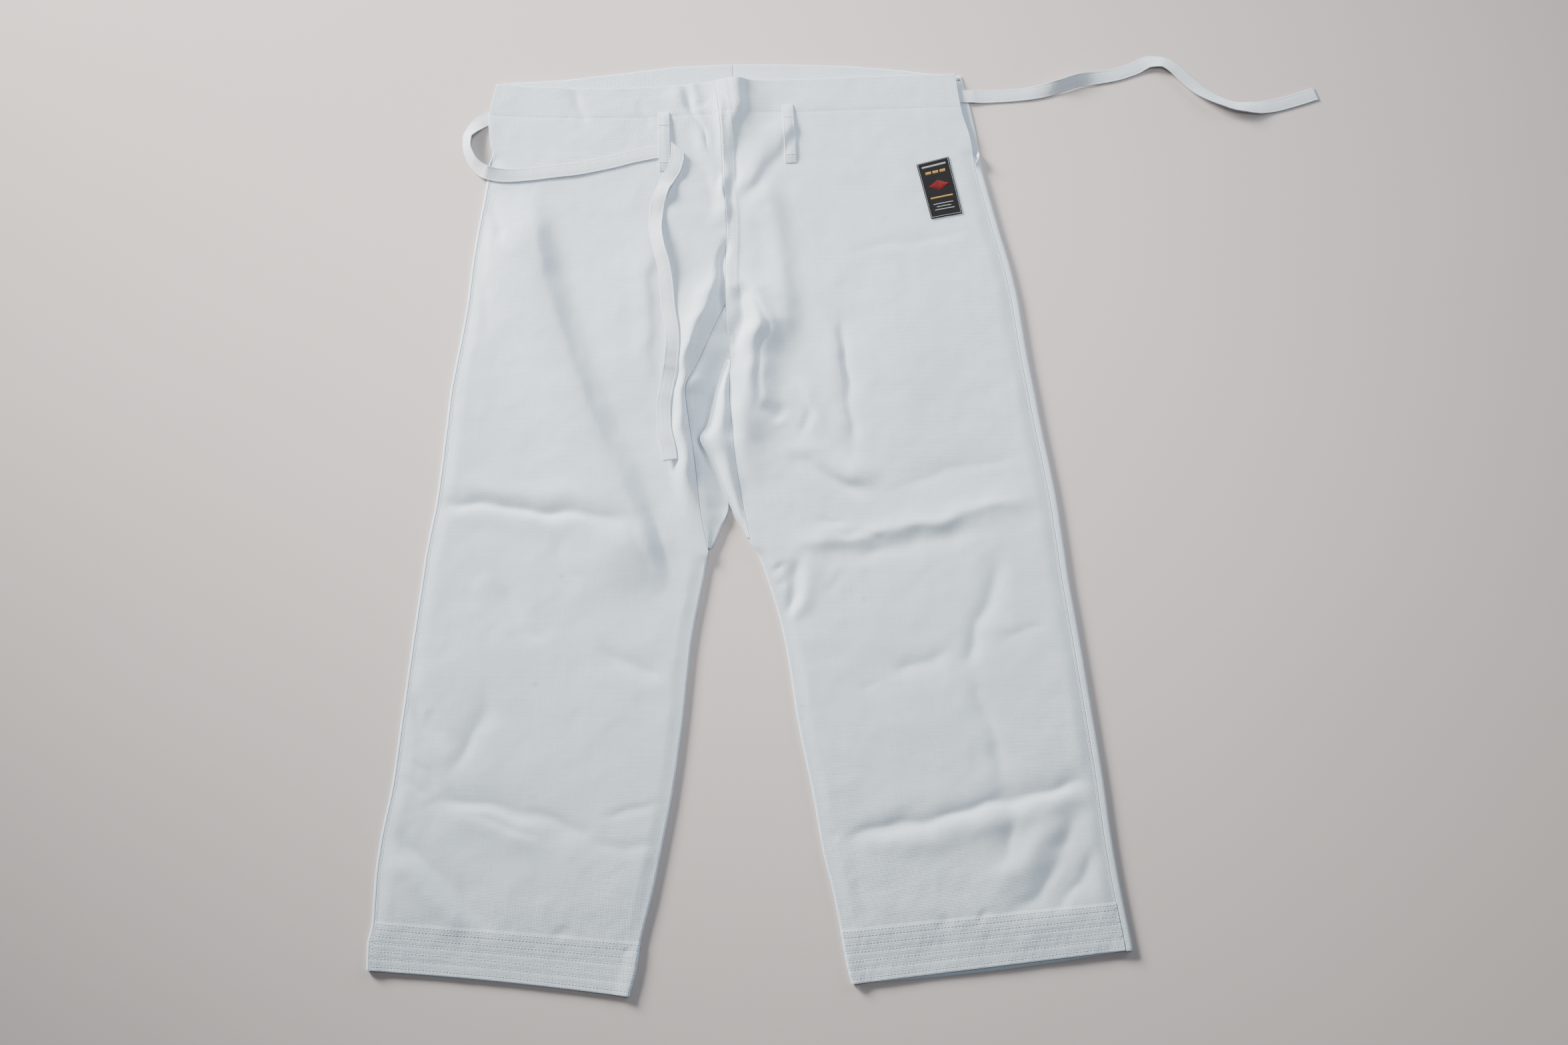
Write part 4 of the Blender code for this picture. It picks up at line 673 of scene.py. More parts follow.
def cotton(name, light, shade, spacing_mm, relief_mm, dent_relief_mm, specks=False):
    """Matt cotton: the yarn's streaks mix two whites, and weave, streaks and dents make its relief."""
    material, tree, shader = new_material(name, roughness=0.92, specular=0.2, sheen=0.12)
    threads, streaks, dents = weave(tree, spacing_mm, streak_mm=2.4, dent_mm=26.0)
    tone = add(tree, "MapRange", {"Value": streaks, "From Min": 0.7, "From Max": 1.3})
    tint = add(tree, "Mix", {"Factor": tone.outputs["Result"], 6: linear(shade), 7: linear(light)},
               data_type="RGBA")
    colour = specked(tree, tint.outputs[2]) if specks else tint.outputs[2]
    tree.links.new(colour, shader.inputs["Base Color"])
    yarn = add(tree, "Bump", {"Height": threads, "Distance": relief_mm * MM, "Strength": 0.7})
    slub = add(tree, "Bump", {"Height": streaks, "Distance": 0.2 * MM, "Strength": 0.5,
                              "Normal": yarn.outputs["Normal"]})
    dent = add(tree, "Bump", {"Height": dents, "Distance": dent_relief_mm * MM, "Strength": 0.6,
                              "Normal": slub.outputs["Normal"]})
    tree.links.new(dent.outputs["Normal"], shader.inputs["Normal"])
    return material


canvas = cotton("bleached cotton canvas", "#DCE8F2", "#D4E1EC", spacing_mm=1.4, relief_mm=0.25,
                dent_relief_mm=1.3, specks=True)
tape_cotton = cotton("cotton twill tape", "#E0E9F1", "#D5E0E9", spacing_mm=1.1, relief_mm=0.2,
                     dent_relief_mm=1.0)


# %% Thread and label
def plain_thread(name, colour, roughness):
    """Spun thread: one colour, mottled by fine noise to as much as a fifth darker."""
    material, tree, shader = new_material(name, roughness, specular=0.2, sheen=0.0)
    place = add(tree, "TexCoord").outputs["Object"]
    fibre = add(tree, "TexNoise", {"Vector": place, "Scale": 1 / (0.6 * MM), "Detail": 2.0})
    dark = [part * 0.8 for part in linear(colour)[:3]] + [1.0]
    tint = add(tree, "Mix", {"Factor": fibre.outputs["Fac"], 6: dark, 7: linear(colour)}, data_type="RGBA")
    tree.links.new(tint.outputs[2], shader.inputs["Base Color"])
    ply = add(tree, "Bump", {"Height": fibre.outputs["Fac"], "Distance": 0.1 * MM, "Strength": 0.5})
    tree.links.new(ply.outputs["Normal"], shader.inputs["Normal"])
    return material


thread = plain_thread("white sewing thread", "#EEF2F4", roughness=0.7)
silver_thread = plain_thread("silver grey border thread", "#A9ACB0", roughness=0.6)
gold_thread = plain_thread("old gold thread", "#B8924C", roughness=0.6)
red_thread = plain_thread("dark red thread", "#8E1B20", roughness=0.6)


def woven_label(name, colour):
    """Fine black damask: close ribs across, with a low gloss where the light runs along them."""
    material, tree, shader = new_material(name, roughness=0.8, specular=0.15, sheen=0.0)
    place = add(tree, "UVMap", uv_map="cloth").outputs["UV"]
    ribs = add(tree, "TexWave", {"Vector": place, "Scale": WAVE_PERIOD / (0.9 * MM)}, bands_direction="Y")
    fleck = add(tree, "TexNoise", {"Vector": place, "Scale": 1 / (1.2 * MM), "Detail": 2.0})
    bright = [part * 2.2 + 0.004 for part in linear(colour)[:3]] + [1.0]
    tint = add(tree, "Mix", {"Factor": fleck.outputs["Fac"], 6: linear(colour), 7: bright},
               data_type="RGBA")
    tree.links.new(tint.outputs[2], shader.inputs["Base Color"])
    relief = add(tree, "Bump", {"Height": ribs.outputs["Fac"], "Distance": 0.15 * MM, "Strength": 0.6})
    tree.links.new(relief.outputs["Normal"], shader.inputs["Normal"])
    return material


label_black = woven_label("black woven label", "#141416")
print("materials:", [m.name for m in (canvas, tape_cotton, thread, label_black)])

# %% [markdown]
# ## Stitching
#
# A lockstitch shows as a row of short thread humps that dip into the cloth between needle holes.
# Each hump is a small four-sided tube of five rings, thick in the middle and sunk at both ends. All
# the humps of a leg are one mesh, worked out as one array.

# %% Stitch rows
STITCH_PITCH = 3.2
STITCH_LENGTH = 2.5
THREAD_RADIUS = 0.24
HUMP_POINTS = 20    # five rings of four


def resample(path, normal, spacing):
    """Points and normals at even distances along a line."""
    walked = travelled(path)
    count = max(1, round(walked[-1] / spacing))
    at = (np.arange(count) + 0.5) * walked[-1] / count
    return (np.stack([np.interp(at, walked, path[:, k]) for k in range(3)], axis=1),
            np.stack([np.interp(at, walked, normal[:, k]) for k in range(3)], axis=1), at, walked)


def stitch_row(path, normal, pitch=STITCH_PITCH, length=STITCH_LENGTH, radius=THREAD_RADIUS):
    """Humps along a line: height radius * (1 - 1.6 t^2), thickness radius * (1 - 0.5 t^2), t is -1 to 1."""
    _, _, at, walked = resample(path, normal, pitch)
    t = np.linspace(-1, 1, 5)
    place = at[:, None] + t * length / 2
    middle = np.stack([np.interp(place, walked, path[:, k]) for k in range(3)], axis=-1)
    up = np.stack([np.interp(place, walked, normal[:, k]) for k in range(3)], axis=-1)
    forward = middle[:, -1:] - middle[:, :1]
    forward = forward / np.maximum(np.linalg.norm(forward, axis=2, keepdims=True), 1e-6)
    beside = np.cross(forward, up)
    lift = radius * (1 - 1.6 * t ** 2)
    thick = radius * (1 - 0.5 * t ** 2)
    angle = (np.arange(4) + 0.5) * math.pi / 2
    ring = (middle[:, :, None] + up[:, :, None] * lift[None, :, None, None]
            + beside[:, :, None] * (np.cos(angle)[None, :] * thick[:, None])[None, :, :, None]
            + up[:, :, None] * (np.sin(angle)[None, :] * thick[:, None])[None, :, :, None])
    return ring.reshape(-1, HUMP_POINTS, 3)


HUMP_FACES = np.array([[4 * r + s, 4 * r + (s + 1) % 4, 4 * r + 4 + (s + 1) % 4, 4 * r + 4 + s]
                       for r in range(4) for s in range(4)] + [[3, 2, 1, 0], [16, 17, 18, 19]])


def stitches(name, rows, material):
    """All the given rows of humps as one mesh."""
    humps = np.concatenate(rows)
    one = outwards(humps[0], HUMP_FACES)
    faces = (one[None] + HUMP_POINTS * np.arange(len(humps))[:, None, None]).reshape(-1, 4)
    thing = mesh_piece(name, humps.reshape(-1, 3), faces, material)
    print(name, "stitches:", len(humps))
    return thing

# %% [markdown]
# ## Front legs
#
# Each front is one piece from waist to hem. Every row of its grid runs straight from the side seam
# to the inner edge, a little bowed at the waist and the hem, and is lifted by the folds. Rows lie
# closer together in the hem, where stitched rows pull narrow furrows, and columns lie closer at both
# edges, where the cloth turns.

# %% Grid of a front
ROW_STEP = 2.5
HEM_ROW_STEP = 1.15
SIDE_STEPS = np.array(NOSE_STEPS + (1.2, 2.0, 3.0))
INNER_STEPS = np.array([16.0, 14.6, 13.8, 13.0, 12.2, 11.4, 10.2, 8.0, 5.8, 3.6, 1.6, 0.0])
CURL_SHARES = np.array([0.2, 0.4, 0.6, 0.77, 0.88, 0.955, 1.0])
MIDDLE_COLUMNS = 88
HEM_ROWS = ((4.5, 0.16), (12.5, 0.26), (20.0, 0.14), (27.5, 0.28), (34.5, 0.14), (41.0, 0.16),
            (46.3, 0.2))    # height above the edge and depth of each stitched furrow
HEM_FURROW_WIDTH = 1.1
HEM_RAISE = 0.6
PUCKER_HEIGHT = 0.09
PUCKER_LENGTH = 9.3
HEM_BOW_RUN = 40.0
FELL_WIDTH = 13.0
FELL_RAISE = 0.7
FELL_ROW = 1.6
FELL_EDGE_ROW = 1.8
FELL_END_Y = 215.0
FRONT_CASING_DEPTH = 35.0
CASING_FURROW = 0.28
RIGHT_WAIST_BOW = 6.0
WAIST_BOW_Y = 360.0
WAIST_BOW_RUN = 80.0
SEAM_ROW = 2.0
SEAM_FURROW = 0.25
FURROW_WIDTH = 0.8
CASING_FURROW_WIDTH = 0.9


def rows_down(leg):
    """Inner y of every row: even steps down the leg, finer in the hem, finest at both ends."""
    waist = leg.sections[0].y
    hem = leg.sections[-1].y
    noses = np.array(NOSE_STEPS)
    casing = waist - FRONT_CASING_DEPTH + np.array([-1.6, -0.8, 0.0, 0.8, 1.6])
    body = np.arange(waist - 2, hem + HEM_DEPTH + 1.5, -ROW_STEP)
    body = body[np.abs(body - waist + FRONT_CASING_DEPTH) > 2.4]
    band = np.arange(hem + HEM_DEPTH + 1.4, hem + 1.2, -HEM_ROW_STEP)
    return np.sort(np.concatenate([waist - noses, casing, body, band, hem + noses]))[::-1]


def turned_edge(turn, arc_length, shares):
    """Reach sin(a) * r and drop (1 - cos(a)) * r along an arc whose length is r * turn."""
    bend = np.maximum(turn, 1e-4)[:, None]
    angle = bend * shares
    arc = (arc_length * np.ones(len(turn)))[:, None] / bend
    return arc * np.sin(angle), arc * (1 - np.cos(angle))


def hem_relief(leg, y_in, distance):
    """The doubled hem lies 0.6 mm higher, with a furrow at each stitched row and puckers between."""
    up = y_in - leg.sections[-1].y
    relief = HEM_RAISE * smoothstep((HEM_DEPTH - up) / 1.2 + 0.5)
    for at, depth in HEM_ROWS:
        relief = relief - bell(up - at, depth, HEM_FURROW_WIDTH)
    short = PUCKER_HEIGHT * np.sin(distance * 2 * math.pi / PUCKER_LENGTH + 0.35 * up)
    puckers = short * np.sin(distance / 23.0 + up / 9.0)
    inside = smoothstep((HEM_DEPTH + 4 - up) / 4)
    return relief + puckers * inside


def front_grid(leg):
    """Points down the middle of a front, the thickness above them, and where each point lies on the cut.

    Row: from (x_out, y_out) at the side seam towards (x_in, y_in). Past the last flat column the
    cloth bends by up to 78 degrees, below the crotch only, which makes the rolled inseam.
    """
    y_in = rows_down(leg)
    y_out = y_in + through_rows(leg.slant, y_in)
    x_out = column(leg.sections, "side", y_in) - leg.sign * column(leg.sections, "inset", y_in)
    x_in = column(leg.sections, "front", y_in) + leg.sign * GAP / 2
    turn = INSEAM_TURN * smoothstep((leg.curl_y - y_in) / APEX_BLEND)
    reach, drop = turned_edge(turn, EDGE_RADIUS * INSEAM_TURN, CURL_SHARES)
    away = np.stack([x_in - x_out, y_in - y_out], axis=1)
    length = np.linalg.norm(away, axis=1)
    way = away / length[:, None]
    flat_end = (length - reach[:, -1] - CLOTH / 2 * np.sin(turn))[:, None]
    middle_start = SIDE_STEPS[-1]
    share = np.arange(1, MIDDLE_COLUMNS) / MIDDLE_COLUMNS
    between = middle_start + (flat_end - INNER_STEPS[0] - middle_start) * share
    ones = np.ones((len(y_in), 1))
    distance = np.concatenate([ones * SIDE_STEPS, between, flat_end - INNER_STEPS, flat_end + reach],
                              axis=1)
    x = x_out[:, None] + way[:, :1] * distance
    y = y_out[:, None] + way[:, 1:] * distance
    bow = np.sin(np.pi * distance / length[:, None])
    if leg.sign < 0:
        y = y - RIGHT_WAIST_BOW * bow * smoothstep((y_in[:, None] - WAIST_BOW_Y) / WAIST_BOW_RUN)
    y = y + leg.hem_lift * bow * smoothstep(1 - (y_in[:, None] - leg.sections[-1].y) / HEM_BOW_RUN)
    height = front_height(x, y)
    closed = smoothstep((SLIT_END + SLIT_BLEND - y_in) / SLIT_BLEND)[:, None]
    curled = (turn / INSEAM_TURN)[:, None]
    near_side = closed * (1 - smoothstep(distance / EDGE_FADE))
    near_inner = curled * (1 - smoothstep((flat_end - distance) / EDGE_FADE))
    height = height + (EDGE_TOP - height) * np.maximum(near_side, near_inner)
    last = len(CURL_SHARES)
    height[:, -last:] = height[:, -last:] * (1 - curled) + (height[:, -last - 1:-last] - drop) * curled
    middle = np.stack([x, y, height], axis=2)
    arc = distance.copy()
    arc[:, -last:] = flat_end + EDGE_RADIUS * INSEAM_TURN * CURL_SHARES
    to_inner = arc[:, -1:] - arc
    above = CLOTH / 2 + hem_relief(leg, y_in[:, None], distance)
    if leg.sign > 0:
        felled = smoothstep(FELL_WIDTH - to_inner + 0.5) * smoothstep((y_in[:, None] - FELL_END_Y) / 3)
        furrow = bell(to_inner - FELL_WIDTH + FELL_ROW, 0.3, FURROW_WIDTH)
        above = above + (FELL_RAISE - furrow) * felled
    casing = leg.sections[0].y - FRONT_CASING_DEPTH
    above = above - bell(y_in[:, None] - casing, CASING_FURROW, CASING_FURROW_WIDTH)
    above = above - bell(distance - SEAM_ROW, SEAM_FURROW * closed, FURROW_WIDTH)
    ends = nose(leg.sections[0].y - y_in) * nose(y_in - leg.sections[-1].y)
    rim = nose(distance) * nose(to_inner) * ends[:, None]
    upright = np.zeros(x.shape)
    upright[:, -last:] = 1 - curled
    uv = np.stack([distance + 0 * x, y_in[:, None] + UV_START_Y + 0 * distance], axis=2)
    return middle, above * rim, CLOTH / 2 * rim, uv, upright, distance, to_inner, y_in


# %% Make both fronts
ROW_TRIM = 5


def line_at(cloth, measure, at):
    """Points and normals of the upper side where a measure that grows along each row equals at."""
    before = np.clip((measure < at).sum(axis=1) - 1, 0, measure.shape[1] - 2)[:, None]
    low = np.take_along_axis(measure, before, axis=1)
    high = np.take_along_axis(measure, before + 1, axis=1)
    share = ((at - low) / (high - low))[:, :, None]
    here = np.take_along_axis(cloth.upper, before[..., None], axis=1)
    there = np.take_along_axis(cloth.upper, before[..., None] + 1, axis=1)
    up = np.take_along_axis(cloth.normal, before[..., None], axis=1)
    return (here + (there - here) * share)[:, 0], up[:, 0]


def row_at(cloth, y_in, at):
    """Points and normals of the grid's row nearest to an inner y, its last few points left off."""
    row = np.abs(y_in - at).argmin()
    return cloth.upper[row, ROW_TRIM:-ROW_TRIM], cloth.normal[row, ROW_TRIM:-ROW_TRIM]


def declare(node):
    """Hides the solid that the piece of cloth stands for."""
    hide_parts(node)


def cloth_area(middle):
    """Area of a grid's middle surface, in square metres."""
    down = middle[1:, :-1] - middle[:-1, :-1]
    across = middle[:-1, 1:] - middle[:-1, :-1]
    return np.linalg.norm(np.cross(down, across), axis=2).sum() * MM * MM


fronts = {}
seams = {"right": [], "left": []}
for leg in (RIGHT, LEFT):
    middle, above, below, uv, upright, distance, to_inner, y_in = front_grid(leg)
    name = "front_" + leg.name + "_cloth"
    front = shell(name, middle, above, below, canvas, uv, upright)
    fronts[leg.name] = front
    hem = leg.sections[-1].y
    for at, _ in HEM_ROWS:
        seams[leg.name].append(stitch_row(*row_at(front, y_in, hem + at)))
    seams[leg.name].append(stitch_row(*row_at(front, y_in, leg.sections[0].y - FRONT_CASING_DEPTH)))
    below_slit = y_in < SLIT_END
    side_line, side_up = line_at(front, distance, SEAM_ROW)
    seams[leg.name].append(stitch_row(side_line[below_slit], side_up[below_slit]))
    if leg.sign > 0:
        above_gusset = y_in > FELL_END_Y
        for from_edge in (FELL_WIDTH - FELL_ROW, FELL_EDGE_ROW):
            line, up = line_at(front, -to_inner, -from_edge)
            seams["left"].append(stitch_row(line[above_gusset], up[above_gusset]))
    print(name, "points:", middle.shape[:2], "area in square metres:", round(cloth_area(middle), 4))

# %% [markdown]
# ## Back legs
#
# The backs lie flat on the surface. At its outer edge each back turns right over on a half circle and
# ends at the side seam, a few millimetres in on the front side, as a real flat-felled side seam lies
# once the trousers are laid down. Above the side slit it stays flat, so the slit stands open.

# %% Make both backs
BACK_COLUMNS = 56
TURN_SHARES = np.arange(1, 13) / 12
SLIT_CORNER_DROP = 6.0
BACK_BOW_Y = 380.0
BACK_BOW_RUN = 70.0


def back_grid(leg):
    """Points down the middle of a back: arc up at the inseam, flat, half circle and strip at the side."""
    y_in = rows_down(leg)[::2]
    y_in = np.concatenate([[CENTRE_BACK_TOP_Y, CENTRE_BACK_TOP_Y - NOSE], np.linspace(463, 446, 8), y_in])
    table_y = np.minimum(y_in, leg.sections[0].y)
    y_out = y_in + through_rows(leg.slant, table_y)
    above_table = y_in > leg.sections[0].y
    corner = leg.side_waist_y - SLIT_CORNER_DROP
    rise = (y_in - leg.sections[0].y) / (CENTRE_BACK_TOP_Y - leg.sections[0].y)
    y_out = np.where(above_table, corner + SLIT_CORNER_DROP * rise, y_out)
    side = column(leg.sections, "side", table_y)
    inset = column(leg.sections, "inset", table_y)
    inner = column(leg.sections, "back", table_y) + leg.sign * GAP / 2
    away = np.stack([side - inner, y_out - y_in], axis=1)
    length = np.linalg.norm(away, axis=1)
    way = away / length[:, None]
    turn_in = INSEAM_TURN * smoothstep((APEX_Y - y_in) / APEX_BLEND - 1)
    reach_in, rise_in = turned_edge(turn_in, EDGE_RADIUS * INSEAM_TURN, CURL_SHARES)
    start = reach_in[:, -1] + CLOTH / 2 * np.sin(turn_in)
    open_share = smoothstep((y_in - SLIT_END + SLIT_BLEND) / (2 * SLIT_BLEND))
    turn_out = math.pi + (OPEN_TURN - math.pi) * open_share
    reach_out, rise_out = turned_edge(turn_out, EDGE_RADIUS * math.pi, TURN_SHARES)
    strip = np.maximum(inset, STRIP_LEAST) - EDGE_RADIUS - CLOTH / 2 - GAP
    strip_steps = strip[:, None] - np.array(NOSE_STEPS[::-1]) * np.minimum(strip, NOSE)[:, None] / NOSE
    strip_reach = reach_out[:, -1:] + strip_steps * np.cos(turn_out)[:, None]
    strip_rise = rise_out[:, -1:] + strip_steps * np.sin(turn_out)[:, None]
    outermost = np.maximum(reach_out.max(axis=1), strip_reach[:, -1]) + CLOTH / 2 * (1 - open_share)
    end = length - outermost
    flat = start[:, None] + (end - start)[:, None] * np.linspace(0, 1, BACK_COLUMNS)
    distance = np.concatenate([start[:, None] - reach_in[:, ::-1], flat, end[:, None] + reach_out,
                               end[:, None] + strip_reach], axis=1)
    lift = np.concatenate([rise_in[:, ::-1], np.zeros(flat.shape), rise_out, strip_rise], axis=1)
    x = inner[:, None] + way[:, :1] * distance
    y = y_in[:, None] + way[:, 1:] * distance
    first = len(CURL_SHARES)
    across = np.linspace(0, 1, BACK_COLUMNS)
    bow = np.interp(across, np.linspace(0, 1, 5), leg.bow)
    y[:, first:first + BACK_COLUMNS] += smoothstep((y_in - BACK_BOW_Y) / BACK_BOW_RUN)[:, None] * bow
    low = smoothstep(1 - (y_in - leg.sections[-1].y) / HEM_BOW_RUN)[:, None]
    y[:, first:first + BACK_COLUMNS] -= low * leg.hem_sag * np.sin(np.pi * across)
    middle = np.stack([x, y, BACK_MIDDLE + lift], axis=2)
    arc = np.concatenate([[0], np.cumsum(np.linalg.norm(np.diff(middle, axis=1), axis=2).mean(axis=0))])
    rim = nose(np.abs(CENTRE_BACK_TOP_Y - y_in)) * nose(y_in - leg.sections[-1].y)
    ends = nose(arc) * nose(arc[-1] - arc)
    half = CLOTH / 2 * rim[:, None] * ends[None, :]
    uv = np.stack([arc[None, :] + 0 * x, y_in[:, None] + UV_START_Y + 0 * x], axis=2)
    return middle, half, uv, y_in


backs = {}
for leg in (RIGHT, LEFT):
    middle, half, uv, y_in = back_grid(leg)
    backs[leg.name] = shell("back_" + leg.name + "_cloth", middle, half, half, canvas, uv)
    print(backs[leg.name].thing.name, "area:", round(cloth_area(middle), 4))

# %% [markdown]
# ## Waist casing and gusset
#
# The waist edge is turned down inside and stitched, and the tape runs in it. Behind the front waist
# its inner side shows. The gusset is a diamond set between the legs so that they can be kicked apart.
# Laid flat, its two halves fold over each other: the left half lies on top.

# %% Back casing
CASING_ENDS = {"right": -249.0, "left": 196.0}
CASING_ROW = 3.0
CASING_SWELL = 0.22
CASING_UV_TOP = 930.0


def edge_crowded(count, size):
    """Shares from 0 to 1 over a side of that size, with the nose's steps at both ends."""
    steps = np.array(NOSE_STEPS) / size
    middle = np.linspace(steps[-1], 1 - steps[-1], count)[1:-1]
    return np.concatenate([steps, middle, 1 - steps[::-1]])


def casing_grid(leg):
    """A straight band under the back waist: x along it, y down from the bowed waist line."""
    down = nosed_steps(CASING_DEPTH, first=2.2, step=1.8)
    run = abs(CASING_ENDS[leg.name] - CENTRE_BACK_X)
    share = edge_crowded(90, run)
    start = CENTRE_BACK_X + leg.sign * GAP / 2
    x = start + (CASING_ENDS[leg.name] - start) * share
    bow = np.interp(share, np.linspace(0, 1, 5), leg.bow)
    top = CENTRE_BACK_TOP_Y + (leg.side_waist_y + 1 - CENTRE_BACK_TOP_Y) * share + bow - 0.8
    depth = down[:, None] + 0 * x
    grid_x = x + 0 * depth
    swell = CASING_SWELL * np.sin(np.pi * down / CASING_DEPTH)[:, None] * (1 + 0.5 * np.sin(grid_x / 11.0))
    height = CLOTH * 1.5 + GAP + 0 * depth
    middle = np.stack([grid_x, top - depth, height], axis=2)
    ends = nose(np.abs(x - x[0])) * nose(np.abs(x[-1] - x))
    rim = (nose(down) * nose(CASING_DEPTH - down))[:, None] * ends
    furrow = bell(depth - CASING_DEPTH + CASING_ROW, SEAM_FURROW, CASING_FURROW_WIDTH)
    above = (CLOTH / 2 + swell - furrow) * rim
    uv = np.stack([np.abs(grid_x), grid_x * 0 - depth + CASING_UV_TOP], axis=2)
    return middle, above, CLOTH / 2 * rim, uv, down


for leg in (RIGHT, LEFT):
    middle, above, below, uv, down = casing_grid(leg)
    casing = shell("casing_" + leg.name + "_cloth", middle, above, below, canvas, uv)
    row = np.abs(down - CASING_DEPTH + CASING_ROW).argmin()
    seams[leg.name].append(stitch_row(casing.upper[row, 3:-3], casing.normal[row, 3:-3]))
print("casing depth in mm:", CASING_DEPTH)

# %% Gusset
GUSSET_RIGHT_EDGE = ((203, -26.0), (147, -21.0), (137, -24.0), (110, -32.0), (76, -40.0),
                     (62, -46.0), (40, -36.5), (-5, -21.5), (-30, -29.5), (-44, -35.5), (-51, -40.5))
GUSSET_LEFT_EDGE = ((147, -23.2), (137, -27.0), (110, -35.0), (76, -43.0), (62, -50.0),
                    (40, -39.0), (-5, -20.2), (-30, -6.5), (-44, -0.4))
LEFT_GUSSET_TOP_Y = 143.5
VALLEY_MIDDLE = 3.0
GUSSET_ROLL = 5.0
GUSSET_STEP = 1.5
GUSSET_PULL = 0.2
GUSSET_FOLD_CLEARANCE = 0.3
GUSSET_LEAST_SEWN = 8.0
LIP_TOP_Y = 196.0    # below this the left front's edge stands off as a lip, and the gusset runs under it
LIP_RUN = 40.0
LIP_REACH = 6.0
LIP_REACH_RUN = 15.0


def gusset_grid(rows_y, seam_x, seam_height, edge_x, edge_height, roll, curl, seamed):
    """From the seam to the other edge: an eased slope plus roll * sin(pi u)^1.5, then a turned edge."""
    width = np.abs(edge_x - seam_x)
    curl = curl * smoothstep(width / 2 - 1)
    reach, drop = turned_edge(curl, np.minimum(EDGE_RADIUS * INSEAM_TURN, width / 2), CURL_SHARES)
    way = np.sign(edge_x - seam_x)
    end_x = edge_x - way * (reach[:, -1] + CLOTH / 2 * np.sin(curl))
    share = np.concatenate([[0.0, 0.006, 0.016, 0.03], np.linspace(0.06, 1, 22)])[None, :]
    ease = smoothstep(share)
    x = seam_x[:, None] + (end_x - seam_x)[:, None] * share
    height = seam_height[:, None] * (1 - ease) + edge_height[:, None] * ease
    height = height + roll[:, None] * np.sin(np.pi * share) ** 1.5
    pull = GUSSET_PULL * np.sin(rows_y[:, None] / 7.0 + 5 * share) * np.sin(np.pi * share)
    height = height + pull * smoothstep(width[:, None] / 10 - 0.5)
    x = np.concatenate([x, end_x[:, None] + way[:, None] * reach], axis=1)
    height = np.concatenate([height, height[:, -1:] - drop], axis=1)
    middle = np.stack([x, rows_y[:, None] + 0 * x, height], axis=2)
    upright = np.zeros(x.shape)
    upright[:, 0] = 1.0
    upright[:, share.shape[1] - 1:] = seamed[:, None]
    upright = np.maximum(upright, (1 - smoothstep(width / 4 - 1))[:, None])
    from_seam = np.abs(x - seam_x[:, None])
    to_edge = np.abs(x[:, -1:] - x)
    rim = nose(from_seam) * nose(to_edge) * (nose(rows_y[0] - rows_y) * nose(rows_y - rows_y[-1]))[:, None]
    furrow = bell(from_seam - SEAM_ROW, SEAM_FURROW, FURROW_WIDTH) * (width[:, None] > 6)
    uv = np.stack([from_seam, rows_y[:, None] + UV_START_Y + 0 * x], axis=2)
    return middle, (CLOTH / 2 - furrow) * rim, CLOTH / 2 * rim, uv, upright, from_seam


def right_gusset_lines(rows):
    """Seam and far edge of the right half in each row, with the cloth's height at both."""
    seam = column(RIGHT_LEG, "front", rows) + GAP / 2
    seamed = rows > LEFT_GUSSET_TOP_Y
    far = np.where(seamed, column(LEFT_LEG, "front", rows) - GAP / 2, through_rows(GUSSET_RIGHT_EDGE, rows))
    under = smoothstep((LIP_TOP_Y - rows) / LIP_RUN)
    reach = LIP_REACH * under * smoothstep((rows - LEFT_GUSSET_TOP_Y) / LIP_REACH_RUN)
    far = np.where(seamed, far + reach, far)
    seam_side = front_height(far, rows) * (1 - under) + VALLEY_MIDDLE * under
    far_height = np.where(seamed, seam_side, VALLEY_MIDDLE)
    far_height = far_height + (EDGE_TOP - far_height) * smoothstep((APEX_Y - rows) / APEX_BLEND)
    return seam, front_height(seam, rows), far, far_height, seamed.astype(float)


def gusset_rows(top, bottom):
    """y of every row: even steps from the top, and one row at the bottom."""
    return np.sort(np.concatenate([np.arange(top, bottom + 0.05, -GUSSET_STEP), [bottom]]))[::-1]


def sewn_gusset(name, rows, seam, seam_height, edge, edge_height, roll, seamed):
    """The cloth of one half, with a row of stitches beside its seam where it is wide enough."""
    curl = INSEAM_TURN * smoothstep((APEX_Y - rows) / APEX_BLEND - 1)
    middle, above, below, uv, upright, from_seam = gusset_grid(
        rows, seam, seam_height, edge, edge_height, roll, curl, seamed)
    cloth = shell("gusset_" + name + "_cloth", middle, above, below, canvas, uv, upright)
    wide = np.abs(edge - seam) > GUSSET_LEAST_SEWN
    line, up = line_at(cloth, from_seam, SEAM_ROW)
    seams[name].append(stitch_row(line[wide], up[wide]))
    return cloth


rows = gusset_rows(top=198.9, bottom=-47.95)
seam, seam_height, far, far_height, seamed = right_gusset_lines(rows)
sewn_gusset("right", rows, seam, seam_height, far, far_height, np.zeros(len(rows)),
                               seamed)

rows = gusset_rows(top=143.4, bottom=-37.95)
seam, seam_height, far, far_height, _ = right_gusset_lines(rows)
edge = through_rows(GUSSET_LEFT_EDGE, rows)
slope = seam_height + (far_height - seam_height) * smoothstep((edge - 1.5 - seam) / (far - seam))
under_edge = np.maximum(VALLEY_MIDDLE, np.where(rows > APEX_Y, slope, 0.0))
edge_height = under_edge + CLOTH + GAP + GUSSET_FOLD_CLEARANCE
seam = column(LEFT_LEG, "front", rows) - GAP / 2
roll = GUSSET_ROLL * smoothstep((LEFT_GUSSET_TOP_Y - rows) / 40) * smoothstep((rows + 30) / 60)
sewn_gusset("left", rows, seam, front_height(seam, rows), edge, edge_height, roll,
                              np.zeros(len(rows)))

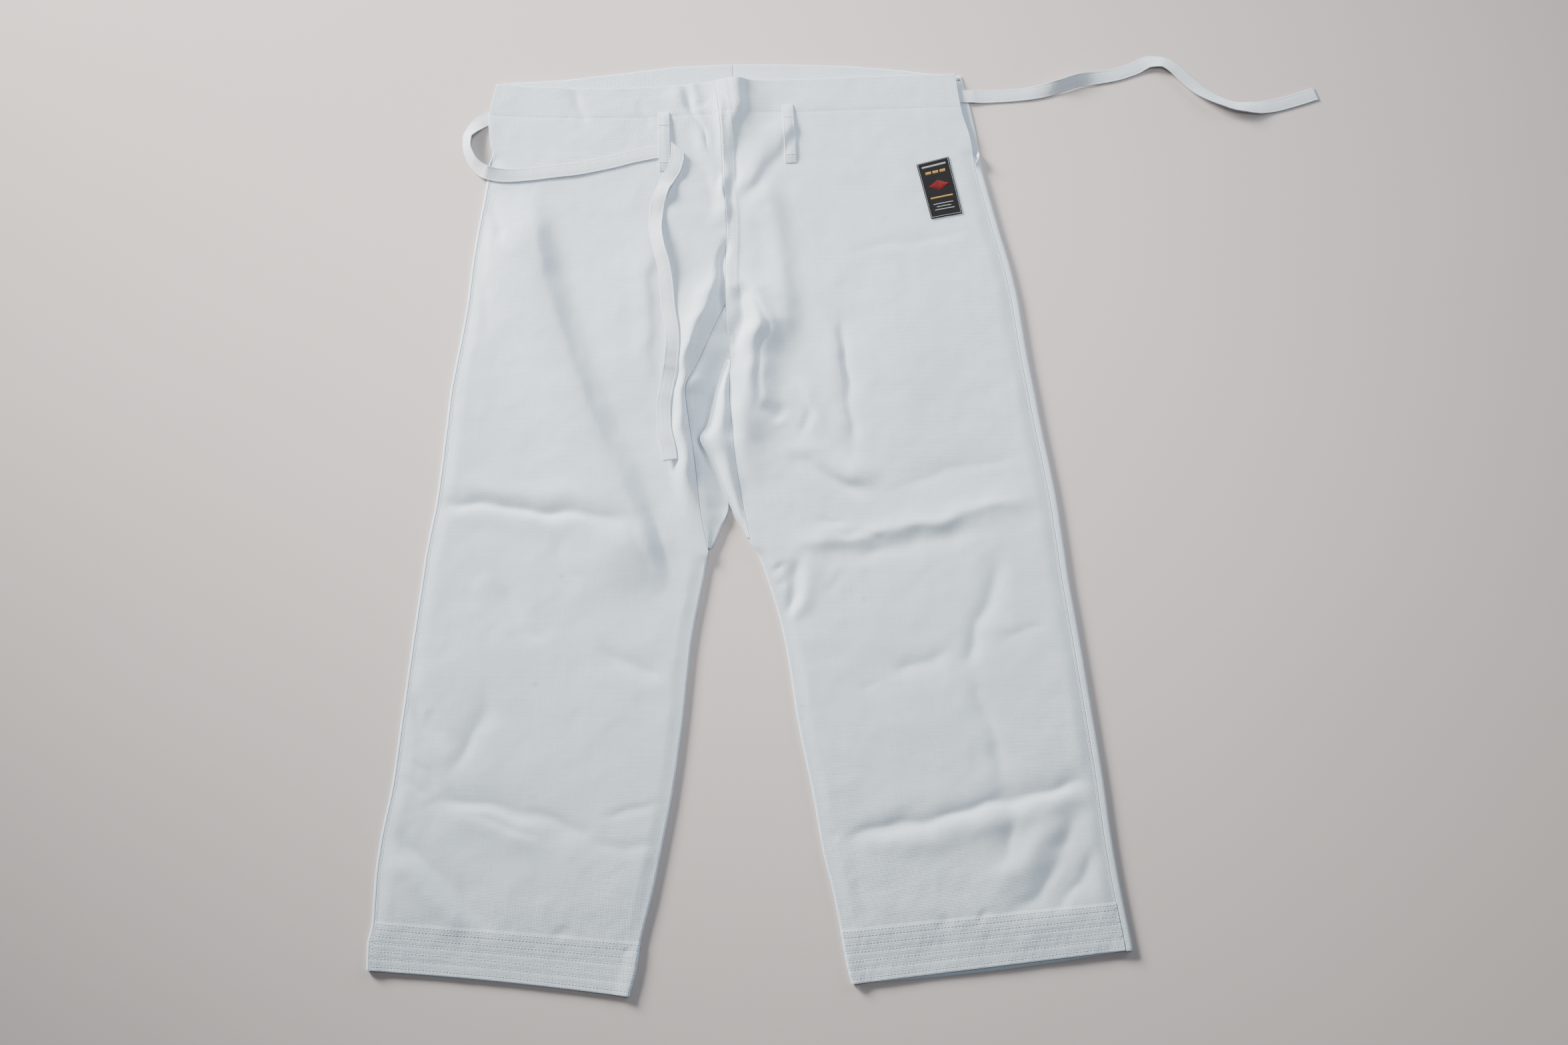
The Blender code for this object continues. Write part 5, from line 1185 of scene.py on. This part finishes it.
# %% [markdown]
# ## Belt loops and label
#
# A belt loop is a folded strip of the same canvas with a row of stitches down each edge, tacked down
# at both ends and standing off in the middle. The label on the left hip is a small woven patch sewn
# on with a close zigzag. Its design here is a plain one of bars and a lozenge.

# %% What lies on a front takes its height from the front
def lay(x, y, over=0.0):
    """Points on the upper side of the front cloth at x, y, raised by over."""
    height = front_height(x, y) + CLOTH / 2
    return np.stack([x, y, height + over], axis=-1)


def strip_plan(line, width, along, across):
    """x and y over a straight strip: along from 0 to 1 down its middle line, across in mm from it."""
    start, end = np.array(line[0]), np.array(line[1])
    way = (end - start) / np.linalg.norm(end - start)
    x = start[0] + (end[0] - start[0]) * along[:, None] + way[1] * across
    y = start[1] + (end[1] - start[1]) * along[:, None] - way[0] * across
    return x, y


LOOP_WIDTH = 11.6
LOOP_THICKNESS = 1.3
LOOP_ARCHES = {"right": 2.6, "left": 1.2}    # the tape runs under the right one
LOOP_LINES = {"right": ((-91.3, 409.0), (-89.0, 344.0)), "left": ((36.0, 418.0), (39.5, 353.0))}
TOP_TACK = 16.0
LOW_TACK = 9.0
LOOP_CLEARANCE = 0.1
LOOP_CROWN = 0.35
LOOP_FURROW = 0.3
LOOP_ROW = 1.9
LOOP_FURROW_WIDTH = 0.6
TACK_PITCH = 0.62
TACK_LENGTH = 1.6
TACK_RADIUS = 0.26


def loop_grid(line, arch):
    """A strip whose middle stands off by arch * sin(pi v)^0.8, with a furrow along each edge."""
    length = math.dist(*line)
    down = nosed_steps(length, first=1.4, step=1.1)
    half = LOOP_WIDTH / 2
    edge = half - np.array(NOSE_STEPS + (1.2, 1.9, 2.8))
    across = np.concatenate([-edge, [-1.6, 0.0, 1.6], edge[::-1]])
    x, y = strip_plan(line, LOOP_WIDTH, down / length, across)
    arch = arch * np.sin(np.pi * np.clip(down / length, 0, 1)) ** 0.8
    nearby = ((0, 0), (2, 0), (-2, 0), (0, 2), (0, -2))
    around = np.max([lay(x + dx, y + dy)[..., 2] for dx, dy in nearby], axis=0)
    pressed = (0.5 + 0.5 * smoothstep(np.minimum(down, length - down) / 7))[:, None]
    half_thick = LOOP_THICKNESS / 2 * pressed
    middle = np.stack([x, y, around + LOOP_CLEARANCE + half_thick + arch[:, None]], axis=2)
    furrow = bell(np.abs(across) - half + LOOP_ROW, LOOP_FURROW, LOOP_FURROW_WIDTH)
    crown = LOOP_CROWN * (1 - (across / half) ** 2)
    rim = (nose(down) * nose(length - down))[:, None] * nose(half - np.abs(across))
    above = (half_thick + (crown - furrow) * pressed) * rim
    uv = np.stack([across + 8 + 0 * x, down[:, None] + 0 * x], axis=2)
    return middle, above, half_thick * rim, uv, down, across


def tack(cloth, down, across, at):
    """A bartack: close stitches side by side across a strip."""
    row = np.abs(down - at).argmin()
    inner = slice(3, len(across) - 3)
    line, up = cloth.upper[row, inner], cloth.normal[row, inner]
    points, normals, _, _ = resample(line, up, TACK_PITCH)
    half = np.array([0.0, TACK_LENGTH / 2, 0.0])
    ends = np.stack([points + half, points - half], axis=1)
    return [stitch_row(pair, np.stack([normal, normal]), TACK_LENGTH, TACK_LENGTH, TACK_RADIUS)
            for pair, normal in zip(ends, normals)]


loops = {}
for name, line in LOOP_LINES.items():
    middle, above, below, uv, down, across = loop_grid(line, LOOP_ARCHES[name])
    loop = shell("belt_loop_" + name + "_cloth", middle, above, below, canvas, uv)
    loops[name] = loop
    for edge_column in (5, len(across) - 6):
        line_up = loop.upper[4:-4, edge_column], loop.normal[4:-4, edge_column]
        seams[name].append(stitch_row(*line_up, pitch=2.9, length=2.2))
    for at in (TOP_TACK, down[-1] - LOW_TACK):
        seams[name] += tack(loop, down, across, at)
    print(loop.thing.name, "length in mm:", round(down[-1], 1))

# %% Label and its plain design
LABEL_CORNERS = ((167.5, 351.0), (200.5, 360.0), (213.5, 298.0), (181.5, 292.0))
LABEL_THICKNESS = 1.0
LABEL_WIDTH = 34.0
LABEL_HEIGHT = 62.0
BAR_PITCH = 0.45
BAR_SINK = 0.05
BAR_RADIUS = 0.26
ZIGZAG_INSET = 0.7
ZIGZAG_WIDTH = 0.9
ZIGZAG_RADIUS = 0.2
LOZENGE_MIDDLE_U = 0.5
LOZENGE_MIDDLE_V = 0.45
LOZENGE_HALF_WIDTH = 0.32
LOZENGE_HALF_HEIGHT = 0.11
LOZENGE_BAR = 0.03


def label_plan(u, v):
    """x and y between the four corners: u from 0 to 1 across, v from 0 to 1 down."""
    corner = np.array(LABEL_CORNERS)
    first = corner[0] + (corner[3] - corner[0]) * v[..., None]
    last = corner[1] + (corner[2] - corner[1]) * v[..., None]
    place = first + (last - first) * u[..., None]
    return place[..., 0], place[..., 1]


def patch(name, u, v, thickness, material):
    """A thin piece of cloth between the corners, with its rim rounded down."""
    grid_v, grid_u = np.meshgrid(v, u, indexing="ij")
    x, y = label_plan(grid_u, grid_v)
    middle = lay(x, y, GAP + thickness / 2)
    across, down = LABEL_WIDTH * u, LABEL_HEIGHT * v
    rim = (nose(down) * nose(LABEL_HEIGHT - down))[:, None] * (nose(across) * nose(LABEL_WIDTH - across))
    uv = np.stack([LABEL_WIDTH * grid_u, LABEL_HEIGHT * grid_v], axis=2)
    half = thickness / 2 * rim
    return shell(name, middle, half, half, material, uv)


label = patch("label_cloth", edge_crowded(12, LABEL_WIDTH), edge_crowded(20, LABEL_HEIGHT), LABEL_THICKNESS,
              label_black)


def bars(name, boxes, material):
    """Satin-stitched bars: boxes of (left, right, top, bottom) in shares of the label, closely sewn."""
    rows = []
    for left, right, top, bottom in boxes:
        count = max(2, int((right - left) * LABEL_WIDTH / BAR_PITCH))
        u = np.linspace(left, right, count)
        for at in u:
            v = np.linspace(top, bottom, 4)
            x, y = label_plan(np.full(4, at), v)
            line = lay(x, y, GAP + LABEL_THICKNESS - BAR_SINK)
            length = float(np.linalg.norm(line[-1] - line[0]))
            rows.append(stitch_row(line, np.tile(UP, (4, 1)), length * 0.7, length, BAR_RADIUS))
    return stitches(name, rows, material)


def zigzag():
    """A closed zigzag along the label's border, a point per mm: they alternate between two lines."""
    rows = []
    border = ((0, 0, 1, 0), (1, 0, 1, 1), (1, 1, 0, 1), (0, 1, 0, 0))
    for u0, v0, u1, v1 in border:
        size = LABEL_WIDTH if v0 == v1 else LABEL_HEIGHT
        count = int(size)
        share = np.linspace(0, 1, count)
        out = ZIGZAG_INSET + ZIGZAG_WIDTH * (np.arange(count) % 2)
        u = u0 + (u1 - u0) * share
        v = v0 + (v1 - v0) * share
        u = np.clip(u, out / LABEL_WIDTH, 1 - out / LABEL_WIDTH)
        v = np.clip(v, out / LABEL_HEIGHT, 1 - out / LABEL_HEIGHT)
        x, y = label_plan(u, v)
        line = lay(x, y, GAP + LABEL_THICKNESS)
        ends = np.stack([line[:-1], line[1:]], axis=1)
        for pair in ends:
            length = float(np.linalg.norm(pair[1] - pair[0]))
            rows.append(stitch_row(pair, np.tile(UP, (2, 1)), length, length, ZIGZAG_RADIUS))
    return rows


border = stitches("label_border_thread", zigzag(), silver_thread)
SILVER_BOXES = ((0.14, 0.86, 0.075, 0.115), (0.2, 0.8, 0.76, 0.78), (0.28, 0.72, 0.81, 0.83),
                (0.2, 0.8, 0.86, 0.88))
GOLD_BOXES = ((0.2, 0.36, 0.18, 0.24), (0.42, 0.58, 0.18, 0.24), (0.64, 0.8, 0.18, 0.24),
              (0.16, 0.84, 0.64, 0.675))
silver_bars = bars("label_silver_bars", SILVER_BOXES, silver_thread)
gold_bars = bars("label_gold_bars", GOLD_BOXES, gold_thread)
lozenge = []
for share in np.linspace(0.2, 0.77, 22):
    off_middle = abs(share + LOZENGE_BAR / 2 - LOZENGE_MIDDLE_U)
    half = LOZENGE_HALF_HEIGHT * (1 - off_middle / LOZENGE_HALF_WIDTH)
    lozenge.append((share, share + LOZENGE_BAR, LOZENGE_MIDDLE_V - half, LOZENGE_MIDDLE_V + half))
red_lozenge = bars("label_red_lozenge", lozenge, red_thread)

# %% [markdown]
# ## The drawstring
#
# The tape is a flat woven band 14 mm wide. Its two ends leave the waist at the side slits. The right
# one curls back over the edge, runs under the belt loop, folds over and hangs down the leg. The left
# one lies away to the side on the surface. A band can't lie inside what it rests on, so each station
# of its route is lifted until the whole width clears what is under it, and then the line is smoothed.

# %% Route of the tape
TAPE_WIDTH = 14.0
TAPE_THICKNESS = 1.1
TAPE_SPACING = 7.0
TAPE_LEAST_FACING = 0.3
TOPMOST_M = 0.2    # higher than all the cloth: rays are cast down from there
Tape = namedtuple("Tape", "x y tilt over")


def route(over, *places):
    """Rows of x, y and tilt in degrees; over is 0 for face up and 180 for face down."""
    return [Tape(x, y, tilt, over) for x, y, tilt in places]


RIGHT_TAPE_UNDER = route(
    0, (-252, 408, 0), (-262, 407, 0), (-272, 404, 0), (-281, 399, 4), (-289, 390.5, 26),
    (-293.3, 380, 42), (-291.8, 368, 48))
RIGHT_TAPE_OVER = route(
    0, (-291.8, 368, 48), (-287, 357, 48), (-279, 347.5, 40), (-268, 341, 24), (-252, 338.5, 8),
    (-228, 340, 0), (-204, 343, 0), (-180, 346, 0), (-160, 350, 0), (-142, 354, 0), (-124, 359, 0),
    (-106, 363, 0), (-94, 365.3, 0), (-85.5, 366.8, 0))
RIGHT_TAPE_TURN = Tape(-75.5, 368.2, 0, 90)
RIGHT_TAPE_OUT = route(
    180, (-76.2, 358.5, 0), (-78.5, 347, 0), (-84, 337, 0), (-90, 325, 20), (-96, 305, 0),
    (-97.5, 284, 14), (-94, 262, 24), (-88, 240, 16), (-85, 218, 4), (-83, 196, 0), (-79.5, 176, -10),
    (-78, 158, -14), (-79, 138, -6), (-83, 114, 0), (-86, 92, 0), (-85, 72, 0), (-81, 54, 0),
    (-78.5, 38, 0))
LEFT_TAPE = route(
    0, (199, 429, 0), (210, 429, 0), (222, 429, 0), (234, 429, 0), (256, 430, 0), (280, 432, 0),
    (300, 435, 14), (318, 439.5, 34), (337, 446, 30), (356, 450, 8), (378, 454.5, 0), (398, 461.5, 0),
    (414, 468.5, -12), (426, 467.5, -20), (437, 461, -18), (447, 451, -14), (457, 441, -14),
    (470, 430.5, -24), (486, 422, -32), (503, 417, -28), (520, 416.5, -12), (538, 419, 0),
    (560, 425, 0), (584, 433, 0))
TAPE_SIDE_SAMPLES = (-1.0, -0.5, 0.0, 0.5, 1.0)
TAPE_WAY_SAMPLES = (-4.0, -2.0, 0.0, 2.0, 4.0)


def tree_of(thing):
    """A piece's faces, ready for rays to be cast at."""
    return BVHTree.FromPolygons([v.co.copy() for v in thing.data.vertices],
                                [tuple(face.vertices) for face in thing.data.polygons])


def top_of(trees, x, y):
    """Highest point under one place, of those pieces or of the surface they lie on."""
    best = 0.0
    for tree in trees:
        hit = tree.ray_cast(Vector((x * MM, y * MM, TOPMOST_M)), Vector((0, 0, -1)))[0]
        if hit is not None:
            best = max(best, hit.z / MM)
    return best


def tape_frames(rows):
    """Place, width direction and face direction of the tape at each station of its route."""
    places = np.array([(row.x, row.y) for row in rows], dtype=float)
    way = np.gradient(places, axis=0)
    way /= np.linalg.norm(way, axis=1, keepdims=True)
    frames = []
    for index, row in enumerate(rows):
        width = np.array([-way[index][1], way[index][0], 0.0])
        face = UP
        stretch = 1.0
        if row.over == 90:
            before = places[index] - places[index - 1]
            after = places[index + 1] - places[index]
            before, after = before / np.linalg.norm(before), after / np.linalg.norm(after)
            crease = -(before + after) / np.linalg.norm(before + after)
            stretch = 1 / abs(before[0] * crease[1] - before[1] * crease[0])
            width = np.array([crease[0], crease[1], 0.0])
            outward = before - after
            face = -np.array([outward[0], outward[1], 0.0]) / np.linalg.norm(outward)
        elif row.over == 180:
            width = -width
            face = -face
        lean = math.radians(row.tilt)
        if row.over != 90:
            width, face = (width * math.cos(lean) + face * math.sin(lean),
                           face * math.cos(lean) - width * math.sin(lean))
        frames.append((places[index], width, face, stretch))
    return frames


def tape_height(station, trees):
    """Height of the tape's middle at which its underside just clears what it lies on."""
    place, width, face, stretch = station
    half = TAPE_WIDTH / 2 * stretch
    onward = np.array([width[1], -width[0]]) / np.linalg.norm(width[:2])
    best = 0.0
    for share in TAPE_SIDE_SAMPLES:
        for step in TAPE_WAY_SAMPLES:
            spot = place + width[:2] * half * share + onward * step
            needed = top_of(trees, spot[0], spot[1]) + GAP - width[2] * half * share
            best = max(best, needed + TAPE_THICKNESS / 2 * max(abs(face[2]), TAPE_LEAST_FACING))
    return best


def between_rows(rows, spacing):
    """Stations at even steps on a smooth curve through the route's rows."""
    places = np.array([(row.x, row.y, row.tilt) for row in rows], dtype=float)
    walked = travelled(places[:, :2])
    wanted = np.linspace(0, walked[-1], max(2, round(walked[-1] / spacing) + 1))
    lines = [through_rows(list(zip(walked, places[:, axis])), wanted) for axis in range(3)]
    return [Tape(x, y, tilt, rows[0].over) for x, y, tilt in zip(*lines)]


def settle(frames, heights):
    """Stations raised to a line that doesn't jump and never drops below the given heights."""
    raised = np.array(heights)
    for _ in range(2):
        padded = np.concatenate([raised[:1], raised, raised[-1:]])
        raised = np.maximum(raised, (padded[:-2] + padded[1:-1] + padded[2:]) / 3)
    return [(np.array([*place, height]), width, face, stretch)
            for (place, width, face, stretch), height in zip(frames, raised)]


# %% The tape's surface
TAPE_FINE = 6
TAPE_EDGE = TAPE_WIDTH / 2 - np.array([0.0, 0.12, 0.32, 0.6, 1.4, 2.1, 2.8])
TAPE_ACROSS = np.concatenate([-TAPE_EDGE, [-2.2, 0.0, 2.2], TAPE_EDGE[::-1]])
FOLD_SHARES = np.linspace(0.1, 0.9, 9)
TAPE_FURROW = 0.15
TAPE_FURROW_X = 4.9
TAPE_FURROW_WIDTH = 0.5


def finer(stations):
    """Stations TAPE_FINE times as close, on a smooth curve through place, width and face."""
    index = np.arange(len(stations))
    fine = np.linspace(0, len(stations) - 1, (len(stations) - 1) * TAPE_FINE + 1)
    rows = np.array([np.concatenate([place, width * stretch, face])
                     for place, width, face, stretch in stations])
    columns = [through_rows(list(zip(index, line)), fine) for line in rows.T]
    return np.stack(columns, axis=1)


def tape_piece(name, rows):
    """The band's surface: its middle line + across * width / half the tape's own width."""
    middle, width, face = rows[:, :3], rows[:, 3:6], rows[:, 6:]
    face = face / np.linalg.norm(face, axis=1, keepdims=True)
    grid = middle[:, None] + width[:, None] * TAPE_ACROSS[None, :, None]
    normal = np.broadcast_to(face[:, None], grid.shape)
    walked = travelled(middle)
    rim = (nose(walked) * nose(walked[-1] - walked))[:, None] * nose(TAPE_WIDTH / 2 - np.abs(TAPE_ACROSS))
    furrow = bell(np.abs(TAPE_ACROSS) - TAPE_FURROW_X, TAPE_FURROW, TAPE_FURROW_WIDTH)
    half = (TAPE_THICKNESS / 2 - furrow) * rim
    uv = np.stack([TAPE_ACROSS + 8 + 0 * walked[:, None], walked[:, None] + 0 * TAPE_ACROSS], axis=2)
    cloth = shell(name, grid, half, half, tape_cotton, uv, normal=normal)
    print(name, "length in mm:", round(walked[-1], 1))
    return cloth, middle, walked[-1]


right_panel, right_back = tree_of(fronts["right"].thing), tree_of(backs["right"].thing)
under_frames = tape_frames(between_rows(RIGHT_TAPE_UNDER, TAPE_SPACING))
floor_part = settle(under_frames, [tape_height(f, [right_back]) for f in under_frames])[:-1]
inward = between_rows(RIGHT_TAPE_OVER, TAPE_SPACING)
outward = between_rows(RIGHT_TAPE_OUT, TAPE_SPACING)
frames = tape_frames(inward + [RIGHT_TAPE_TURN] + outward)
turn = len(inward)
loop_tree = tree_of(loops["right"].thing)
layer = TAPE_THICKNESS + GAP
over = settle(frames[:turn], [tape_height(f, [right_panel, right_back]) for f in frames[:turn]])
low = over[-1][0][2]
heights = [tape_height(f, [right_panel, right_back, loop_tree]) for f in frames[turn + 1:]]
heights[:2] = [max(height, low + layer) for height in heights[:2]]
hanging = settle(frames[turn + 1:], heights)
crease, crease_width, inside, crease_stretch = frames[turn]
high = max(low + layer, hanging[0][0][2])
bend = (high - low) / 2
start = (np.array([*(crease + inside[:2] * bend), low]), crease_width, UP, crease_stretch)
end = (np.array([*(crease + inside[:2] * bend), high]), crease_width, -UP, crease_stretch)
angle = FOLD_SHARES[:, None] * math.pi
arc = start[0] + inside * -bend * np.sin(angle) + UP * bend * (1 - np.cos(angle))
arc_face = UP * np.cos(angle) + inside * np.sin(angle)
arc_width = np.tile(crease_width * crease_stretch, (len(FOLD_SHARES), 1))
arc_rows = np.concatenate([arc, arc_width, arc_face], axis=1)
right_tape = tape_piece("drawstring_right_tape", np.concatenate([
    finer(floor_part + over + [start]), arc_rows, finer([end] + hanging)]))

left_frames = tape_frames(between_rows(LEFT_TAPE, TAPE_SPACING))
left_back = tree_of(backs["left"].thing)
left_stations = settle(left_frames, [tape_height(f, [left_back]) for f in left_frames])
left_tape = tape_piece("drawstring_left_tape", finer(left_stations))

# %% [markdown]
# ## Threads, and what each piece stands for
#
# The humps of each leg's seams are joined into one piece. Every piece of cloth takes the place of its
# solid, and the solid is hidden.

# %% Thread meshes, and hide the solids
for name in ("right", "left"):
    threads = stitches("seam_thread_" + name, seams[name], thread)

declare("front_panel_right")
declare("front_panel_left")
declare("back_panel_right")
declare("back_panel_left")
declare("back_casing_right")
declare("back_casing_left")
declare("gusset_right")
declare("gusset_left")
for name in ("right", "left"):
    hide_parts("belt_loop_" + name)
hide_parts("label_patch")
for name, (cloth, line, length) in (("right", right_tape), ("left", left_tape)):
    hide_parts("drawstring_" + name)

# %% [markdown]
# ## Floor and light
#
# The garment lies on a sheet of pale paper. A large soft light stands beyond the waist on the left, so
# a fold is bright on the sides that face the waist and the left and shaded on the others. A weak, cooler
# light on the right, a weak one above and a pale blue sky keep the hollows open and a little colder.

# %% Floor and lights
def plain_paper():
    """Matt paper in two close greys, mottled by slow noise."""
    material, tree, shader = new_material("pale grey backdrop paper", roughness=0.85, specular=0.2,
                                          sheen=0.0)
    place = add(tree, "TexCoord").outputs["Object"]
    mottle = add(tree, "TexNoise", {"Vector": place, "Scale": 3.0, "Detail": 2.0})
    tint = add(tree, "Mix", {"Factor": mottle.outputs["Fac"], 6: linear("#CEC5C1"), 7: linear("#D4CBC8")},
               data_type="RGBA")
    tree.links.new(tint.outputs[2], shader.inputs["Base Color"])
    return material


HALF_FLOOR = 6000.0
FLOOR_Z = -0.05
SKY_STRENGTH = 0.15
corners = np.array([(x * HALF_FLOOR, y * HALF_FLOOR, FLOOR_Z)
                    for x, y in ((-1, -1), (1, -1), (1, 1), (-1, 1))])
floor_mesh = bpy.data.meshes.new("backdrop_paper")
floor_mesh.from_pydata((corners * MM).tolist(), [], [(0, 1, 2, 3)])
floor_mesh.materials.append(plain_paper())
floor = bpy.data.objects.new("backdrop_paper", floor_mesh)
bpy.context.collection.objects.link(floor)
floor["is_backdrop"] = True


def soft_light(name, place, aim, width, height, power, colour, spread):
    """A rectangular soft box that points from place at aim. Its beam is spread degrees wide."""
    data = bpy.data.lights.new(name, "AREA")
    data.shape = "RECTANGLE"
    data.size = width
    data.size_y = height
    data.energy = power
    data.color = linear(colour)[:3]
    data.spread = math.radians(spread)
    lamp = bpy.data.objects.new(name, data)
    lamp.location = place
    lamp.rotation_euler = (Vector(aim) - Vector(place)).to_track_quat("-Z", "Y").to_euler()
    bpy.context.collection.objects.link(lamp)


soft_light("left window", (-2.09, 1.93, 1.0), aim=(0.08, 0.2, 0.0), width=1.3, height=0.8, power=37.0,
           colour="#FFFCF6", spread=54)
soft_light("right window", (2.1, 1.8, 1.05), aim=(-0.1, 0.22, 0.0), width=1.3, height=0.9, power=4.5,
           colour="#DCEBFF", spread=54)
soft_light("ceiling fill", (0.0, 0.3, 1.9), aim=(0.0, 0.2, 0.0), width=0.7, height=0.7, power=1.6,
           colour="#FFFFFF", spread=48)
world = bpy.data.worlds.new("pale room")
world.use_nodes = True
world.node_tree.nodes["Background"].inputs["Color"].default_value = linear("#DFE9F5")
world.node_tree.nodes["Background"].inputs["Strength"].default_value = SKY_STRENGTH
bpy.context.scene.world = world

# %% Size of what is drawn
low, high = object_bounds()
print("visual box in mm:", [round(v / MM, 1) for v in high - low])
